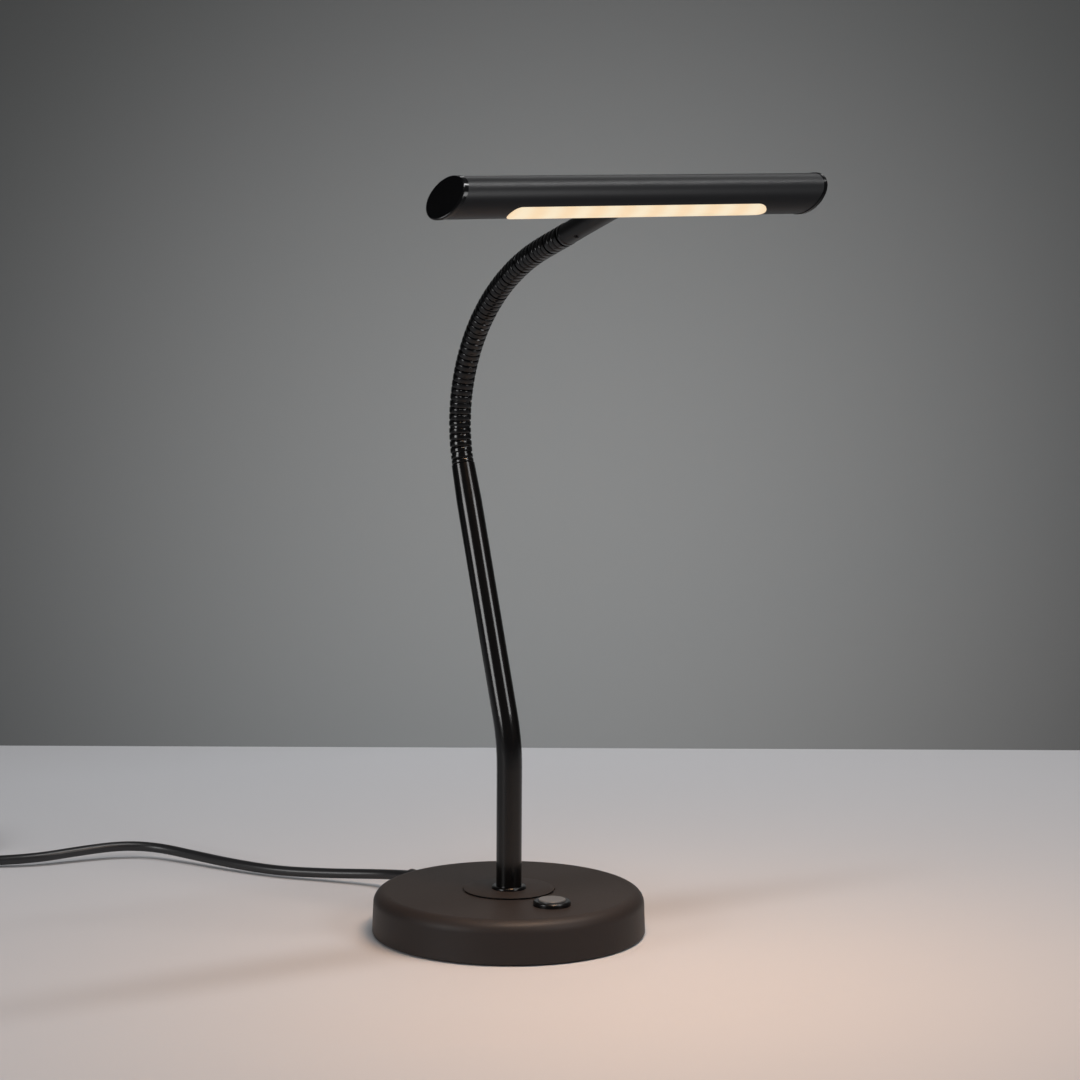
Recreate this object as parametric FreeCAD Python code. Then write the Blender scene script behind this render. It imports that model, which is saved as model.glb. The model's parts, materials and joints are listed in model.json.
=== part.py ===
import FreeCAD, Part
import math
import os

# Piano lamp: a weighted round foot with a push switch, a bent stem, a bending neck of ribbed
# ball-and-socket sleeves, and a cylindrical lamp head with obliquely cut ends.
# Millimetres. +Z up, origin on the table at the centre of the foot. The head runs along X,
# the light and the switch face -Y, the mains lead leaves at +Y.

V = FreeCAD.Vector
X_AXIS = V(1, 0, 0)
Y_AXIS = V(0, 1, 0)
Z_AXIS = V(0, 0, 1)

# --- clearances ---------------------------------------------------------------------------
seat_gap = 0.05          # between flat faces that are clamped or glued together
slip_gap = 0.1           # radial, a fastener or barrel in its hole
running_gap = 0.05       # radial, a ball in its socket and the button in its bezel
part_gap = 0.3           # between parts that only lie near each other

# --- foot ---------------------------------------------------------------------------------
base_radius = 75.0
base_taper = 0.6         # how much narrower the side is at the rounded shoulder
base_height = 24.0
base_lift = 0.8          # height of the shell's lower edge over the table
base_wall = 1.8
base_shoulder = 7.0      # radius of the rounded shoulder
base_edge = 0.8          # bevel round the shell's lower edge
pad_thickness = 1.6
pad_inset = 4.0
plate_thickness = 1.2
weight_thickness = 10.0
boss_radius = 16.0
plate_screw_inset = 21.0 # from the foot's edge
plate_screw_bearing = 60.0  # degrees round the foot, clear of the switch and the mains entry
plate_screw_radius = 1.9
plate_screw_head = 3.6
plate_screw_length = 8.0
plate_screw_count = 3
hub_disc_radius = 25.0
hub_disc_thickness = 0.8
hub_disc_edge = 0.3      # gap round the hub disc, seen as a fine circle

# --- stem joint in the foot ---------------------------------------------------------------
nipple_radius = 4.0
nipple_bore = 2.6
nipple_engagement = 12.0
nut_flats = 13.0
nut_thickness = 4.0
washer_radius = 7.5
washer_thickness = 0.9
nut_well_radius = 11.0
nut_lift = 3.5           # room under the nut for the lead
collar_radius = 9.5
collar_height = 2.4

# --- stem ---------------------------------------------------------------------------------
stem_radius = 7.0
stem_wall = 1.5
stem_bend_height = 106.2
stem_bend_radius = 90.0
stem_lean = 18.13        # degrees from upright, towards the back
stem_upper_length = 155.7
stem_neck_down = 20.0    # length of the drawn-in top end
stem_end_radius = 6.4

# --- neck ---------------------------------------------------------------------------------
neck_radius = 6.1
neck_links = 12
link_pitch = 14.87
neck_stub = 6.0          # stem top to the first ball's centre
first_bend = 11.26       # degrees at the lowest ball, falling evenly along the neck
neck_turn = 88.25        # degrees, from the stem to the head
straight_balls = 2       # the uppermost balls, which lie straight
ball_radius = 3.7
post_radius = 2.3
lead_bore = 1.5
lip_depth = 1.3          # how far a socket reaches past its ball's centre
shoulder_drop = 3.2      # ball centre to the shoulder under it
rib_count = 4
groove_width = 1.4
groove_depth = 0.7
rib_bevel = 0.35
lead_radius = 1.0
lead_end_gap = 0.3       # past the top of the ball under it
lead_in_ball = 0.5       # below the top of its own ball
anchor_plug_length = 10.0

# --- ferrule and head socket --------------------------------------------------------------
ferrule_radius = 5.85
ferrule_length = 27.0    # last ball's centre to the seam
spigot_radius = 3.8
spigot_length = 18.0
grub_radius = 1.5
grub_offset = 15.0       # back from the seam
grub_length = 1.7
grub_turn = 150.0        # degrees round the ferrule, from its upper side
head_reach = 63.65       # last ball's centre to the head's axis
socket_thread_radius = 3.0
head_nut_flats = 9.0
head_nut_thickness = 2.4
saddle_room = 1.1        # beside the saddle washer, to the diffuser's height
saddle_depth = 1.9       # head tube's inner wall to the saddle washer's flat face

# --- head ---------------------------------------------------------------------------------
head_radius = 10.6
head_wall = 1.2
head_length = 219.7      # along the axis, between the middles of the two cut ends
cut_angle = 31.0         # degrees between an end's face and a square cut
cut_turn = 47.0          # degrees, longest side of the ends, from the top towards the front
cap_thickness = 2.4
cap_proud = 0.3
cap_rounding = 0.9
cap_plug = 6.0
cap_plug_wall = 1.6
slot_margin = 30.35      # end of the slot to the middle of the head's cut end
slot_half_angle = 31.0
slot_turn = 12.85        # degrees, middle of the slot from the bottom towards the front
slot_end_extra = 1.4     # by which the slot's rounded ends are longer than half circles
slot_gap = 0.15
diffuser_wall = 1.2
diffuser_proud = 0.3
diffuser_flange = 1.3    # past the slot's sides and ends, inside the tube
carrier_thickness = 3.5
carrier_drop = 1.0       # head's axis to the carrier's underside
ledge_depth = 1.6
ledge_reach = 2.0
board_room = 0.55        # between the board's side and the lead's nut
board_overhang = 4.5     # past the slot's end
board_thickness = 1.2
led_count = 9
led_inset = 9.9          # outermost LED's middle to the slot's end
led_length = 3.5
led_width = 2.8
led_height = 0.8
notch_depth = 3.2        # room in the carrier for the lead's end, past the nut
board_screw_inset = 5.0  # from the board's end
board_screw_radius = 1.0
board_screw_head = 1.9
board_screw_head_height = 0.9

# --- push switch --------------------------------------------------------------------------
switch_distance = 42.7
button_radius = 7.4
button_ledge = 0.45      # radial, holds the button's flange in the bezel
bezel_wall = 0.9
bezel_lip = 1.4          # the bezel's rim past its barrel
bezel_height = 2.6
bezel_step = 6.0         # top of the bezel to the wider lower bore
ring_nut_width = 2.7
ring_nut_thickness = 2.8
switch_room = 1.1        # over the base plate, under the switch's tabs
button_proud = 0.8       # over the bezel
button_travel = 1.5
button_flange = 1.6
button_dome = 0.5
switch_tab_width = 2.0
switch_tab_drop = 2.0
switch_tab_place = 4.4   # from the switch's axis
plunger_radius = 1.5
plunger_reach = 4.0      # into the switch body at rest
switch_body_height = 6.0
spring_radius = 3.4
spring_wire = 0.3
spring_coils = 4.5

# --- driver board -------------------------------------------------------------------------
driver_length = 36.0
driver_width = 30.0
driver_thickness = 1.6
driver_x = 43.0
standoff_height = 1.7
standoff_radius = 2.4
standoff_inset = 3.0
lead_run = 3.5           # from the driver board to where the lead goes down through the weight
lead_passage = 2.0       # half width of its passage
lead_turn = 2.0
wire_radius = 0.7
wire_lift = 0.5          # over the weight
wire_turn = 2.5
core_radius = 1.0
core_offset = 1.3        # from the mains lead's axis
driver_part_height = 3.4

# --- mains lead ---------------------------------------------------------------------------
cord_radius = 2.9
exit_height = 11.0
gland_hole = 5.6
gland_flange = 7.0
gland_inner_flange = 6.4
gland_inner_inset = 1.4  # further in than the shell's inner side
gland_flange_thickness = 1.5
relief_length = 28.0
relief_root = 5.0
relief_tip = 3.9
clamp_inset = 17.0       # from the foot's edge
clamp_length = 7.0
clamp_half_width = 9.5
clamp_roof = 1.2
clamp_screw_spacing = 13.0
clamp_screw_radius = 1.4
clamp_screw_head = 2.4
clamp_screw_head_height = 1.2
cord_inner_past = 6.0    # the sheath past the clamp
core_length = 2.0        # bare cores between the sheath and the terminal block
terminal_length = 10.0
terminal_width = 14.0
terminal_height = 7.0
terminal_screw_hole = 1.2
terminal_screw_depth = 2.0

# The lead's route on the table, then the coil's middle, then the short tail to the plug,
# all measured from under the end of the strain relief.
cord_route = [
    (0.0, 0.0, 11.0), (-1.5, 13.0, 9.0), (-9.5, 30.0, 7.0), (-25.0, 52.0, 4.9), (-45.0, 76.0, 4.0),
    (-60.0, 106.0, 4.4), (-72.0, 136.0, 5.5), (-83.0, 158.0, 7.0), (-100.5, 169.0, 8.0),
    (-125.0, 173.5, 7.0), (-157.0, 177.0, 5.0), (-196.0, 201.5, 3.0), (-220.6, 218.3, 2.9),
]
coil_middle = (-198.4, 252.4, 0.0)
coil_mean_radius = 32.0
coil_lower_turns = 4
coil_upper_turns = 3
tail_route = [
    (-230.1, 273.0, 8.0), (-222.9, 285.0, 7.3), (-215.8, 298.2, 3.5), (-209.4, 310.8, 3.0),
    (-202.6, 323.1, 5.5), (-195.0, 334.9, 6.85),
]
tie_width = 12.0
tie_thickness = 0.8
tie_bearing = 20.0       # degrees round the coil
plug_bearing = -33.0     # degrees, the plug's direction from +Y
plug_width = 35.0
plug_thickness = 13.7
plug_front = 18.0        # length of the plug's broad front part
plug_length = 36.0
plug_waist = 13.0
plug_rounding = 3.0
plug_relief = 22.0
plug_relief_root = 5.4
plug_relief_wall = 1.0
pin_radius = 2.0
pin_length = 19.0
pin_spacing = 18.6


# --- helpers ------------------------------------------------------------------------------
def cylinder(radius, low, high):
    return Part.makeCylinder(radius, high - low, V(0, 0, low))


def tube(outer, inner, low, high):
    return cylinder(outer, low, high).cut(cylinder(inner, low - 1, high + 1))


def box(low, high):
    size = V(*high) - V(*low)
    return Part.makeBox(size.x, size.y, size.z, V(*low))


def lathe(points):
    """Solid of revolution round Z of a closed outline of (radius, height) points."""
    corners = [V(r, 0, z) for r, z in points]
    return Part.Face(Part.makePolygon(corners + corners[:1])).revolve(V(0, 0, 0), Z_AXIS, 360)


def hexagon(flats, low, high):
    corner = flats / math.sqrt(3)
    points = [V(corner * math.cos(math.radians(60 * k)), corner * math.sin(math.radians(60 * k)), low)
              for k in range(6)]
    return Part.Face(Part.makePolygon(points + points[:1])).extrude(V(0, 0, high - low))


def joined(first, *others):
    return first.multiFuse(list(others)).removeSplitter() if others else first


def placed(shape, point, rotation=None):
    copy = shape.copy()
    copy.Placement = FreeCAD.Placement(point, rotation or FreeCAD.Rotation()).multiply(copy.Placement)
    return copy


def about_x(angle):
    """Rotation that leans an upright part forwards, towards -Y."""
    return FreeCAD.Rotation(X_AXIS, angle)


def upwards(angle):
    """Unit vector of a line that leans forwards from upright by an angle in degrees."""
    return V(0, -math.sin(math.radians(angle)), math.cos(math.radians(angle)))


def free_radii(points):
    """Largest even arc for each corner: 0.45 of the shorter run over the tangent of half the turn."""
    radii = []
    for before, corner, after in zip(points, points[1:], points[2:]):
        half_turn = (corner - before).getAngle(after - corner) / 2
        run = min((corner - before).Length, (after - corner).Length)
        radii.append(0.45 * run / math.tan(half_turn))
    return radii


def rounded_path(points, radii):
    """Straight runs joined by tangent arcs."""
    edges = []
    start = points[0]
    for before, corner, after, radius in zip(points, points[1:], points[2:], radii):
        back = (before - corner).normalize()
        ahead = (after - corner).normalize()
        half_turn = math.pi / 2 - back.getAngle(ahead) / 2
        reach = radius * math.tan(half_turn)
        inwards = (back + ahead).normalize()
        middle = corner + inwards * (radius / math.cos(half_turn) - radius)
        arc_start = corner + back * reach
        arc_end = corner + ahead * reach
        edges.append(Part.LineSegment(start, arc_start).toShape())
        edges.append(Part.Arc(arc_start, middle, arc_end).toShape())
        start = arc_end
    edges.append(Part.LineSegment(start, points[-1]).toShape())
    return Part.Wire(edges)


def rod_along(path, radius, direction):
    start = path.Edges[0].Vertexes[0].Point
    section = Part.Wire([Part.makeCircle(radius, start, direction)])
    return path.makePipeShell([section], True, False)


def write(node, *shapes):
    """One STEP file per named part; a part made of several pieces is a compound of solids."""
    solids = [solid for shape in shapes for solid in shape.Solids]
    shape = solids[0] if len(solids) == 1 else Part.makeCompound(solids)
    shape.exportStep(f"parts/{node}.step")
    print(node, len(solids), "solids", round(shape.Volume, 1), "mm3", "" if shape.isValid() else "INVALID")


# --- heights in the foot ------------------------------------------------------------------
plate_low = pad_thickness + seat_gap
plate_high = plate_low + plate_thickness
weight_low = plate_high + seat_gap
weight_high = weight_low + weight_thickness
shell_ceiling = base_height - base_wall
base_top_radius = base_radius - base_taper
inner_radius = base_radius - base_wall
weight_radius = base_top_radius - base_wall - seat_gap
boss_high = shell_ceiling - seat_gap
nut_low = weight_low + nut_lift
washer_low = nut_low + nut_thickness + seat_gap
nut_well_high = washer_low + washer_thickness + seat_gap
nipple_hole = nipple_radius + slip_gap
stem_bore = stem_radius - stem_wall
insert_bore = nipple_radius + seat_gap
channel_floor = exit_height - cord_radius - seat_gap
channel_half_width = clamp_half_width + slip_gap
bezel_bore = button_radius + running_gap
bezel_lower_bore = bezel_bore + button_ledge
bezel_barrel_radius = bezel_lower_bore + bezel_wall
bezel_radius = bezel_barrel_radius + bezel_lip
ring_nut_radius = bezel_barrel_radius + ring_nut_width
switch_well_radius = ring_nut_radius + part_gap
bezel_top = base_height + seat_gap + bezel_height


def drum(lower_points, radius, high, shoulder):
    """Solid of revolution: the given lower outline, then a side that ends in a rounded shoulder."""
    slant = shoulder * math.sqrt(0.5)
    side_end = V(radius, 0, high - shoulder)
    top_start = V(radius - shoulder, 0, high)
    crown = V(radius - shoulder + slant, 0, high - shoulder + slant)
    corners = [V(0, 0, high)] + [V(r, 0, z) for r, z in lower_points] + [side_end]
    edges = [Part.LineSegment(a, b).toShape() for a, b in zip(corners, corners[1:])]
    edges.append(Part.Arc(side_end, crown, top_start).toShape())
    edges.append(Part.LineSegment(top_start, corners[0]).toShape())
    return Part.Face(Part.Wire(edges)).revolve(V(0, 0, 0), Z_AXIS, 360)


def make_base_shell():
    foot = [(0, base_lift), (base_radius - base_edge / 2, base_lift), (base_radius, base_lift + base_edge)]
    outside = drum(foot, base_top_radius, base_height, base_shoulder)
    inside = drum([(0, 0), (inner_radius, 0)], base_top_radius - base_wall, shell_ceiling,
                  base_shoulder - base_wall)
    recess = cylinder(hub_disc_radius + hub_disc_edge, base_height - hub_disc_thickness - seat_gap,
                      base_height + 1)
    stem_hole = cylinder(nipple_hole, 0, base_height + 1)
    switch_hole = placed(cylinder(bezel_barrel_radius + slip_gap, shell_ceiling - 1, base_height + 1),
                         V(0, -switch_distance, 0))
    cord_hole = placed(cylinder(gland_hole, -base_wall * 3, base_wall * 3),
                       V(0, inner_radius, exit_height), FreeCAD.Rotation(X_AXIS, -90))
    return outside.cut(inside).cut(recess).cut(stem_hole).cut(switch_hole).cut(cord_hole)


def around(radius, count, start=0.0):
    """Points evenly spaced on a circle round the stem."""
    step = 2 * math.pi / count
    first = math.radians(start)
    return [V(radius * math.cos(first + k * step), radius * math.sin(first + k * step), 0)
            for k in range(count)]


plate_screw_points = around(base_radius - plate_screw_inset, plate_screw_count, plate_screw_bearing)


def make_base_weight():
    bosses = [placed(cylinder(standoff_radius, weight_high - 1, weight_high + standoff_height), point)
              for point in standoff_points]
    body = joined(cylinder(weight_radius, weight_low, weight_high),
                  cylinder(boss_radius, weight_high - 1, boss_high), *bosses)
    cuts = [cylinder(nipple_hole, 0, base_height), cylinder(nut_well_radius, 0, nut_well_high)]
    cuts.append(placed(cylinder(switch_well_radius, 0, base_height), V(0, -switch_distance, 0)))
    cuts.append(box((-channel_half_width, terminal_low_y - part_gap, channel_floor),
                    (channel_half_width, base_radius, weight_high + 1)))
    cuts.append(backwards(gland_inner_flange + part_gap, gland_inner_y - part_gap, base_radius))
    cuts.append(placed(cylinder(lead_passage, 0, base_height), V(lead_drop, 0, 0)))
    cuts.append(box((0, -lead_passage, 0), (lead_drop, lead_passage, nut_low)))
    for point in plate_screw_points:
        hole = cylinder(plate_screw_radius + seat_gap, 0, weight_low + plate_screw_length)
        cuts.append(placed(hole, point))
    for point in clamp_screw_points:
        cuts.append(placed(cylinder(clamp_screw_radius + seat_gap, channel_floor - clamp_screw_bite,
                                    weight_high), point))
    for point in standoff_points:
        cuts.append(placed(cylinder(board_screw_radius + seat_gap, weight_high - standoff_bite,
                                    base_height), point))
    for cut in cuts:
        body = body.cut(cut)
    return body


def plate_screw():
    head = Part.makeCone(plate_screw_head, plate_screw_radius, plate_thickness, V(0, 0, plate_low))
    shank = cylinder(plate_screw_radius, plate_high - 0.1, plate_high + plate_screw_length - part_gap)
    return joined(head, shank)


def make_base_plate():
    plate = cylinder(inner_radius - part_gap, plate_low, plate_high)
    for point in plate_screw_points:
        sink = Part.makeCone(plate_screw_head + 2 * seat_gap, plate_screw_radius + 2 * seat_gap,
                             plate_thickness, V(0, 0, plate_low))
        plate = plate.cut(placed(sink, point))
    return plate


def make_collar():
    low = base_height + seat_gap
    ring = tube(collar_radius, stem_radius + seat_gap, low, low + collar_height)
    rim = [edge for edge in ring.Edges
           if edge.Closed and abs(edge.BoundBox.ZMin - low - collar_height) < 1e-6
           and edge.Length > 2 * math.pi * stem_radius + 4]
    return ring.makeFillet(min(1.4, collar_height * 0.6), rim)


# --- stem ---------------------------------------------------------------------------------
stem_foot = V(0, 0, base_height + seat_gap)
stem_corner = V(0, 0, stem_bend_height)
stem_top = stem_corner + upwards(-stem_lean) * stem_upper_length


def stem_line(low, high_extra=0.0):
    """Path along the stem's middle from a height in the foot to past the stem's top."""
    top = stem_top + upwards(-stem_lean) * high_extra
    return rounded_path([V(0, 0, low), stem_corner, top], [stem_bend_radius])


def make_stem():
    outside = rod_along(stem_line(stem_foot.z), stem_radius, Z_AXIS)
    waist = lathe([
        (stem_end_radius, 0.01), (stem_radius, -stem_neck_down), (stem_radius + 2, -stem_neck_down),
        (stem_radius + 2, 0.01)])
    outside = outside.cut(placed(waist, stem_top, about_x(-stem_lean)))
    return outside.cut(rod_along(stem_line(stem_foot.z - 1, 1.0), stem_bore, Z_AXIS))


def make_stem_insert():
    return tube(stem_bore - seat_gap, insert_bore, stem_foot.z, stem_foot.z + nipple_engagement)


# --- neck ---------------------------------------------------------------------------------
balls = neck_links + 1
bent_balls = balls - straight_balls
bend_step = (bent_balls * first_bend - neck_turn) / (bent_balls * (bent_balls - 1) / 2)
socket_radius = ball_radius + running_gap
link_angles = []
ball_points = [stem_top + upwards(-stem_lean) * neck_stub]
angle = -stem_lean
for k in range(balls):
    if k < bent_balls:
        angle += first_bend - k * bend_step
    link_angles.append(angle)
    if k < neck_links:
        ball_points.append(ball_points[-1] + upwards(angle) * link_pitch)
head_angle = link_angles[-1]
head_centre = ball_points[-1] + upwards(head_angle) * head_reach


def ribbed_outline(low, high, ribs):
    """Outer side of a sleeve from low to high, with square-cut grooves between bevelled ribs."""
    rib = (high - low - (ribs - 1) * groove_width) / ribs
    root = neck_radius - groove_depth
    points = [(root, low), (neck_radius, low + rib_bevel)]
    for k in range(ribs - 1):
        end = low + rib + k * (rib + groove_width)
        points += [(neck_radius, end - rib_bevel), (root, end), (root, end + groove_width),
                   (neck_radius, end + groove_width + rib_bevel)]
    return points + [(neck_radius, high - rib_bevel), (root, high)]


def ball_end(shape, centre):
    """Adds the post and ball that carry the next sleeve, with the lead's bore through them."""
    post = cylinder(post_radius, centre - shoulder_drop - 0.5, centre)
    ball = Part.makeSphere(ball_radius, V(0, 0, centre))
    return joined(shape, post, ball)


def make_link():
    shoulder = link_pitch - shoulder_drop
    sleeve = lathe([(0, -lip_depth)] + ribbed_outline(-lip_depth, shoulder, rib_count) + [(0, shoulder)])
    link = ball_end(sleeve, link_pitch)
    return link.cut(Part.makeSphere(socket_radius)).cut(cylinder(lead_bore, -ball_radius, link_pitch * 2))


def make_link_lead():
    return cylinder(lead_radius, ball_radius + lead_end_gap, link_pitch + ball_radius - lead_in_ball)


def make_anchor():
    """Plug in the stem's top with the lowest ball, modelled from that ball's centre."""
    stem_end = -neck_stub + seat_gap
    flange = lathe([(0, stem_end)] + ribbed_outline(stem_end, -shoulder_drop, 1) + [(0, -shoulder_drop)])
    plug = cylinder(stem_bore - seat_gap, stem_end - anchor_plug_length, stem_end + 0.5)
    anchor = ball_end(joined(flange, plug), 0.0)
    return anchor.cut(cylinder(lead_bore, -anchor_plug_length * 2, ball_radius * 2))


def make_ferrule():
    root = ferrule_radius - groove_depth
    sleeve = lathe([(0, -lip_depth), (root, -lip_depth), (ferrule_radius, -lip_depth + rib_bevel),
                    (ferrule_radius, ferrule_length), (0, ferrule_length)])
    bore_low = ferrule_length - spigot_length - part_gap
    sleeve = sleeve.cut(Part.makeSphere(socket_radius)).cut(cylinder(lead_bore, 0, ferrule_length))
    sleeve = sleeve.cut(cylinder(spigot_radius + seat_gap, bore_low, ferrule_length + 1))
    return sleeve.cut(grub_at(grub_radius + seat_gap, 0, ferrule_radius * 2))


def grub_at(radius, low, high):
    """Cylinder across the ferrule, from its middle outwards, on the grub screw's line."""
    outwards = V(math.sin(math.radians(grub_turn)) * -1, 0, 0) + V(0, math.cos(math.radians(grub_turn)), 0)
    return Part.makeCylinder(radius, high - low, V(0, 0, ferrule_length - grub_offset) + outwards * low,
                             outwards)


def make_grub_screw():
    screw = grub_at(grub_radius, spigot_radius + seat_gap, spigot_radius + seat_gap + grub_length)
    hex_socket = grub_at(grub_radius * 0.5, spigot_radius + grub_length * 0.5, ferrule_radius * 2)
    return screw.cut(hex_socket)


# --- head, in its own frame: X along the tube, -Y forwards from the neck, Z away from the slot
tube_bore = head_radius - head_wall
head_turn = FreeCAD.Rotation(X_AXIS, head_angle - 90)
cut_towards = V(0, -math.sin(math.radians(cut_turn)), math.cos(math.radians(cut_turn)))
cut_normal = (X_AXIS * math.cos(math.radians(cut_angle)) - cut_towards * math.sin(math.radians(cut_angle)))
huge = head_length


def along(radius, half_length):
    """Cylinder along the head's axis."""
    return Part.makeCylinder(radius, 2 * half_length, V(-half_length, 0, 0), X_AXIS)


def past_end(side, offset=0.0):
    """Everything past one end's oblique plane, moved outwards by an offset along its normal."""
    block = Part.makeBox(huge, huge, huge, V(0, -huge / 2, -huge / 2))
    normal = cut_normal * side
    point = V(side * head_length / 2, 0, 0) + normal * offset
    return placed(block, point, FreeCAD.Rotation(X_AXIS, normal))


def between_ends(shape, offset=0.0):
    return shape.cut(past_end(1, offset)).cut(past_end(-1, offset))


def slot_cutter(half_length, half_width):
    """Slot with drawn-out round ends across the head's front underside, up to the diffuser's top."""
    end_length = half_width + slot_end_extra
    flat = half_length - end_length
    low = -head_radius * 2
    corners = [V(-flat, -half_width, low), V(flat, -half_width, low), V(flat, half_width, low),
               V(-flat, half_width, low)]
    edges = [Part.LineSegment(corners[0], corners[1]).toShape(),
             half_ellipse(flat, end_length, half_width, low),
             Part.LineSegment(corners[2], corners[3]).toShape(),
             half_ellipse(-flat, -end_length, half_width, low)]
    cutter = Part.Face(Part.Wire(edges)).extrude(V(0, 0, diffuser_high - low))
    return placed(cutter, V(0, 0, 0), FreeCAD.Rotation(X_AXIS, -slot_turn))


def half_ellipse(middle, length, half_width, height):
    """Rounded end of the slot, which bulges along the head by a signed length."""
    side = math.copysign(1, length)
    curve = Part.Ellipse(V(middle + length, 0, height), V(middle, side * half_width, height),
                         V(middle, 0, height))
    return Part.ArcOfEllipse(curve, -math.pi / 2, math.pi / 2).toShape()


slot_half_length = head_length / 2 - slot_margin
slot_half_width = head_radius * math.sin(math.radians(slot_half_angle))
board_length = 2 * (slot_half_length + board_overhang)
board_screw_place = board_length / 2 - board_screw_inset
led_pitch = 2 * (slot_half_length - led_inset) / (led_count - 1)
flange_radius = tube_bore - part_gap
diffuser_high = -math.sqrt(flange_radius ** 2 - (slot_half_width + diffuser_flange) ** 2)
saddle_radius = -diffuser_high - saddle_room
carrier_low = -carrier_drop
carrier_high = carrier_low + carrier_thickness
carrier_half_width = math.sqrt(tube_bore ** 2 - carrier_high ** 2) - part_gap
ledge_high = carrier_low - seat_gap
saddle_face = tube_bore - saddle_depth
nut_face = saddle_face - seat_gap - head_nut_thickness
cut_reach = tube_bore * math.tan(math.radians(cut_angle))
plug_reach = cap_plug / math.cos(math.radians(cut_angle))
carrier_half_length = head_length / 2 - cut_reach - plug_reach - part_gap
notch_half_width = head_nut_flats / math.sqrt(3) + part_gap
board_high = carrier_low - seat_gap
board_low = board_high - board_thickness
board_width = 2 * (nut_face - board_room)


def make_head_tube():
    body = between_ends(along(head_radius, head_length))
    bore = along(tube_bore, head_length)
    for side in (-1, 1):
        wall = side * tube_bore
        ledge = box((-carrier_half_length, min(wall, wall - side * ledge_reach), ledge_high - ledge_depth),
                    (carrier_half_length, max(wall, wall - side * ledge_reach), ledge_high))
        if side > 0:
            room = box((-notch_half_width, 0, -head_radius), (notch_half_width, head_radius, 0))
            ledge = ledge.cut(room)
        bore = bore.cut(ledge)
    body = body.cut(bore)
    body = body.cut(slot_cutter(slot_half_length, slot_half_width))
    return body.cut(Part.makeCylinder(socket_thread_radius + slip_gap, head_radius * 2, V(0, 0, 0), Y_AXIS))


def make_diffuser():
    inner = flange_radius - diffuser_wall
    window = along(head_radius + diffuser_proud, slot_half_length).cut(along(inner, head_length))
    window = window.common(slot_cutter(slot_half_length - slot_gap, slot_half_width - slot_gap))
    flange = along(flange_radius, head_length).cut(along(inner, head_length))
    flange = flange.common(slot_cutter(slot_half_length + diffuser_flange, slot_half_width + diffuser_flange))
    return joined(window, flange)


def make_end_cap(side):
    rim_radius = head_radius + cap_proud
    face = along(rim_radius, head_length).cut(past_end(side, seat_gap + cap_thickness))
    face = face.common(past_end(side, seat_gap))
    plane_point = V(side * head_length / 2, 0, 0) + cut_normal * side * (seat_gap + cap_thickness)
    outer = [edge for edge in face.Edges
             if edge.Closed and abs((edge.CenterOfMass - plane_point).dot(cut_normal)) < 0.01]
    face = face.makeFillet(cap_rounding, outer)
    plug_radius = tube_bore - seat_gap
    plug = along(plug_radius, head_length).cut(along(plug_radius - cap_plug_wall, head_length))
    plug = plug.common(past_end(side, -cap_plug)).cut(past_end(side, seat_gap + cap_thickness / 2))
    return joined(face, plug)


def make_carrier():
    plate = box((-carrier_half_length, -carrier_half_width, carrier_low),
                (carrier_half_length, carrier_half_width, carrier_high))
    notch = box((-notch_half_width, nut_face - notch_depth, carrier_low - 1),
                (notch_half_width, tube_bore, carrier_high + 1))
    plate = plate.cut(notch)
    for side in (-1, 1):
        plate = plate.cut(placed(cylinder(board_screw_radius + seat_gap, carrier_low - 1, carrier_high + 1),
                                 V(side * board_screw_place, 0, 0)))
    return plate


def make_led_board():
    board = box((-board_length / 2, -board_width / 2, board_low),
                (board_length / 2, board_width / 2, board_high))
    for side in (-1, 1):
        hole = cylinder(board_screw_radius + seat_gap, board_low - 1, board_high + 1)
        board = board.cut(placed(hole, V(side * board_screw_place, 0, 0)))
    return board


def make_leds():
    high = board_low - seat_gap
    chips = []
    for k in range(led_count):
        x = (k - (led_count - 1) / 2) * led_pitch
        chips.append(box((x - led_length / 2, -led_width / 2, high - led_height),
                         (x + led_length / 2, led_width / 2, high)))
    return chips


def make_board_screws():
    screws = []
    top = board_low - seat_gap
    for side in (-1, 1):
        head = cylinder(board_screw_head, top - board_screw_head_height, top)
        shank = cylinder(board_screw_radius, top - 0.1, carrier_high)
        screws.append(placed(joined(head, shank), V(side * board_screw_place, 0, 0)))
    return screws


def across(radius, start, end):
    """Cylinder in the head's frame along Y, between two distances behind the head's axis."""
    return Part.makeCylinder(radius, end - start, V(0, start, 0), Y_AXIS)


def make_head_socket():
    seam = head_reach - ferrule_length - seat_gap
    barrel = across(ferrule_radius, 0, seam).cut(along(head_radius + seat_gap, head_length))
    thread = across(socket_thread_radius, nut_face - 0.1, head_radius + 1.5)
    spigot = across(spigot_radius, seam - 0.5, head_reach - ferrule_length + spigot_length)
    barrel = max(barrel.Solids, key=lambda solid: solid.CenterOfMass.y)
    return joined(barrel, thread, spigot).cut(across(lead_bore, 0, head_reach))


def make_saddle_washer():
    disc = across(saddle_radius, saddle_face, tube_bore).common(along(tube_bore - seat_gap, head_length))
    return disc.cut(across(socket_thread_radius + slip_gap, 0, head_radius * 2))


def make_head_nut():
    nut = hexagon(head_nut_flats, 0, head_nut_thickness).cut(cylinder(socket_thread_radius + seat_gap, -1, 9))
    return placed(nut, V(0, saddle_face - seat_gap, 0), FreeCAD.Rotation(X_AXIS, 90))


def make_head_lead():
    return across(lead_radius, nut_face - notch_depth + part_gap, head_reach - ball_radius - lead_end_gap)


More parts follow.
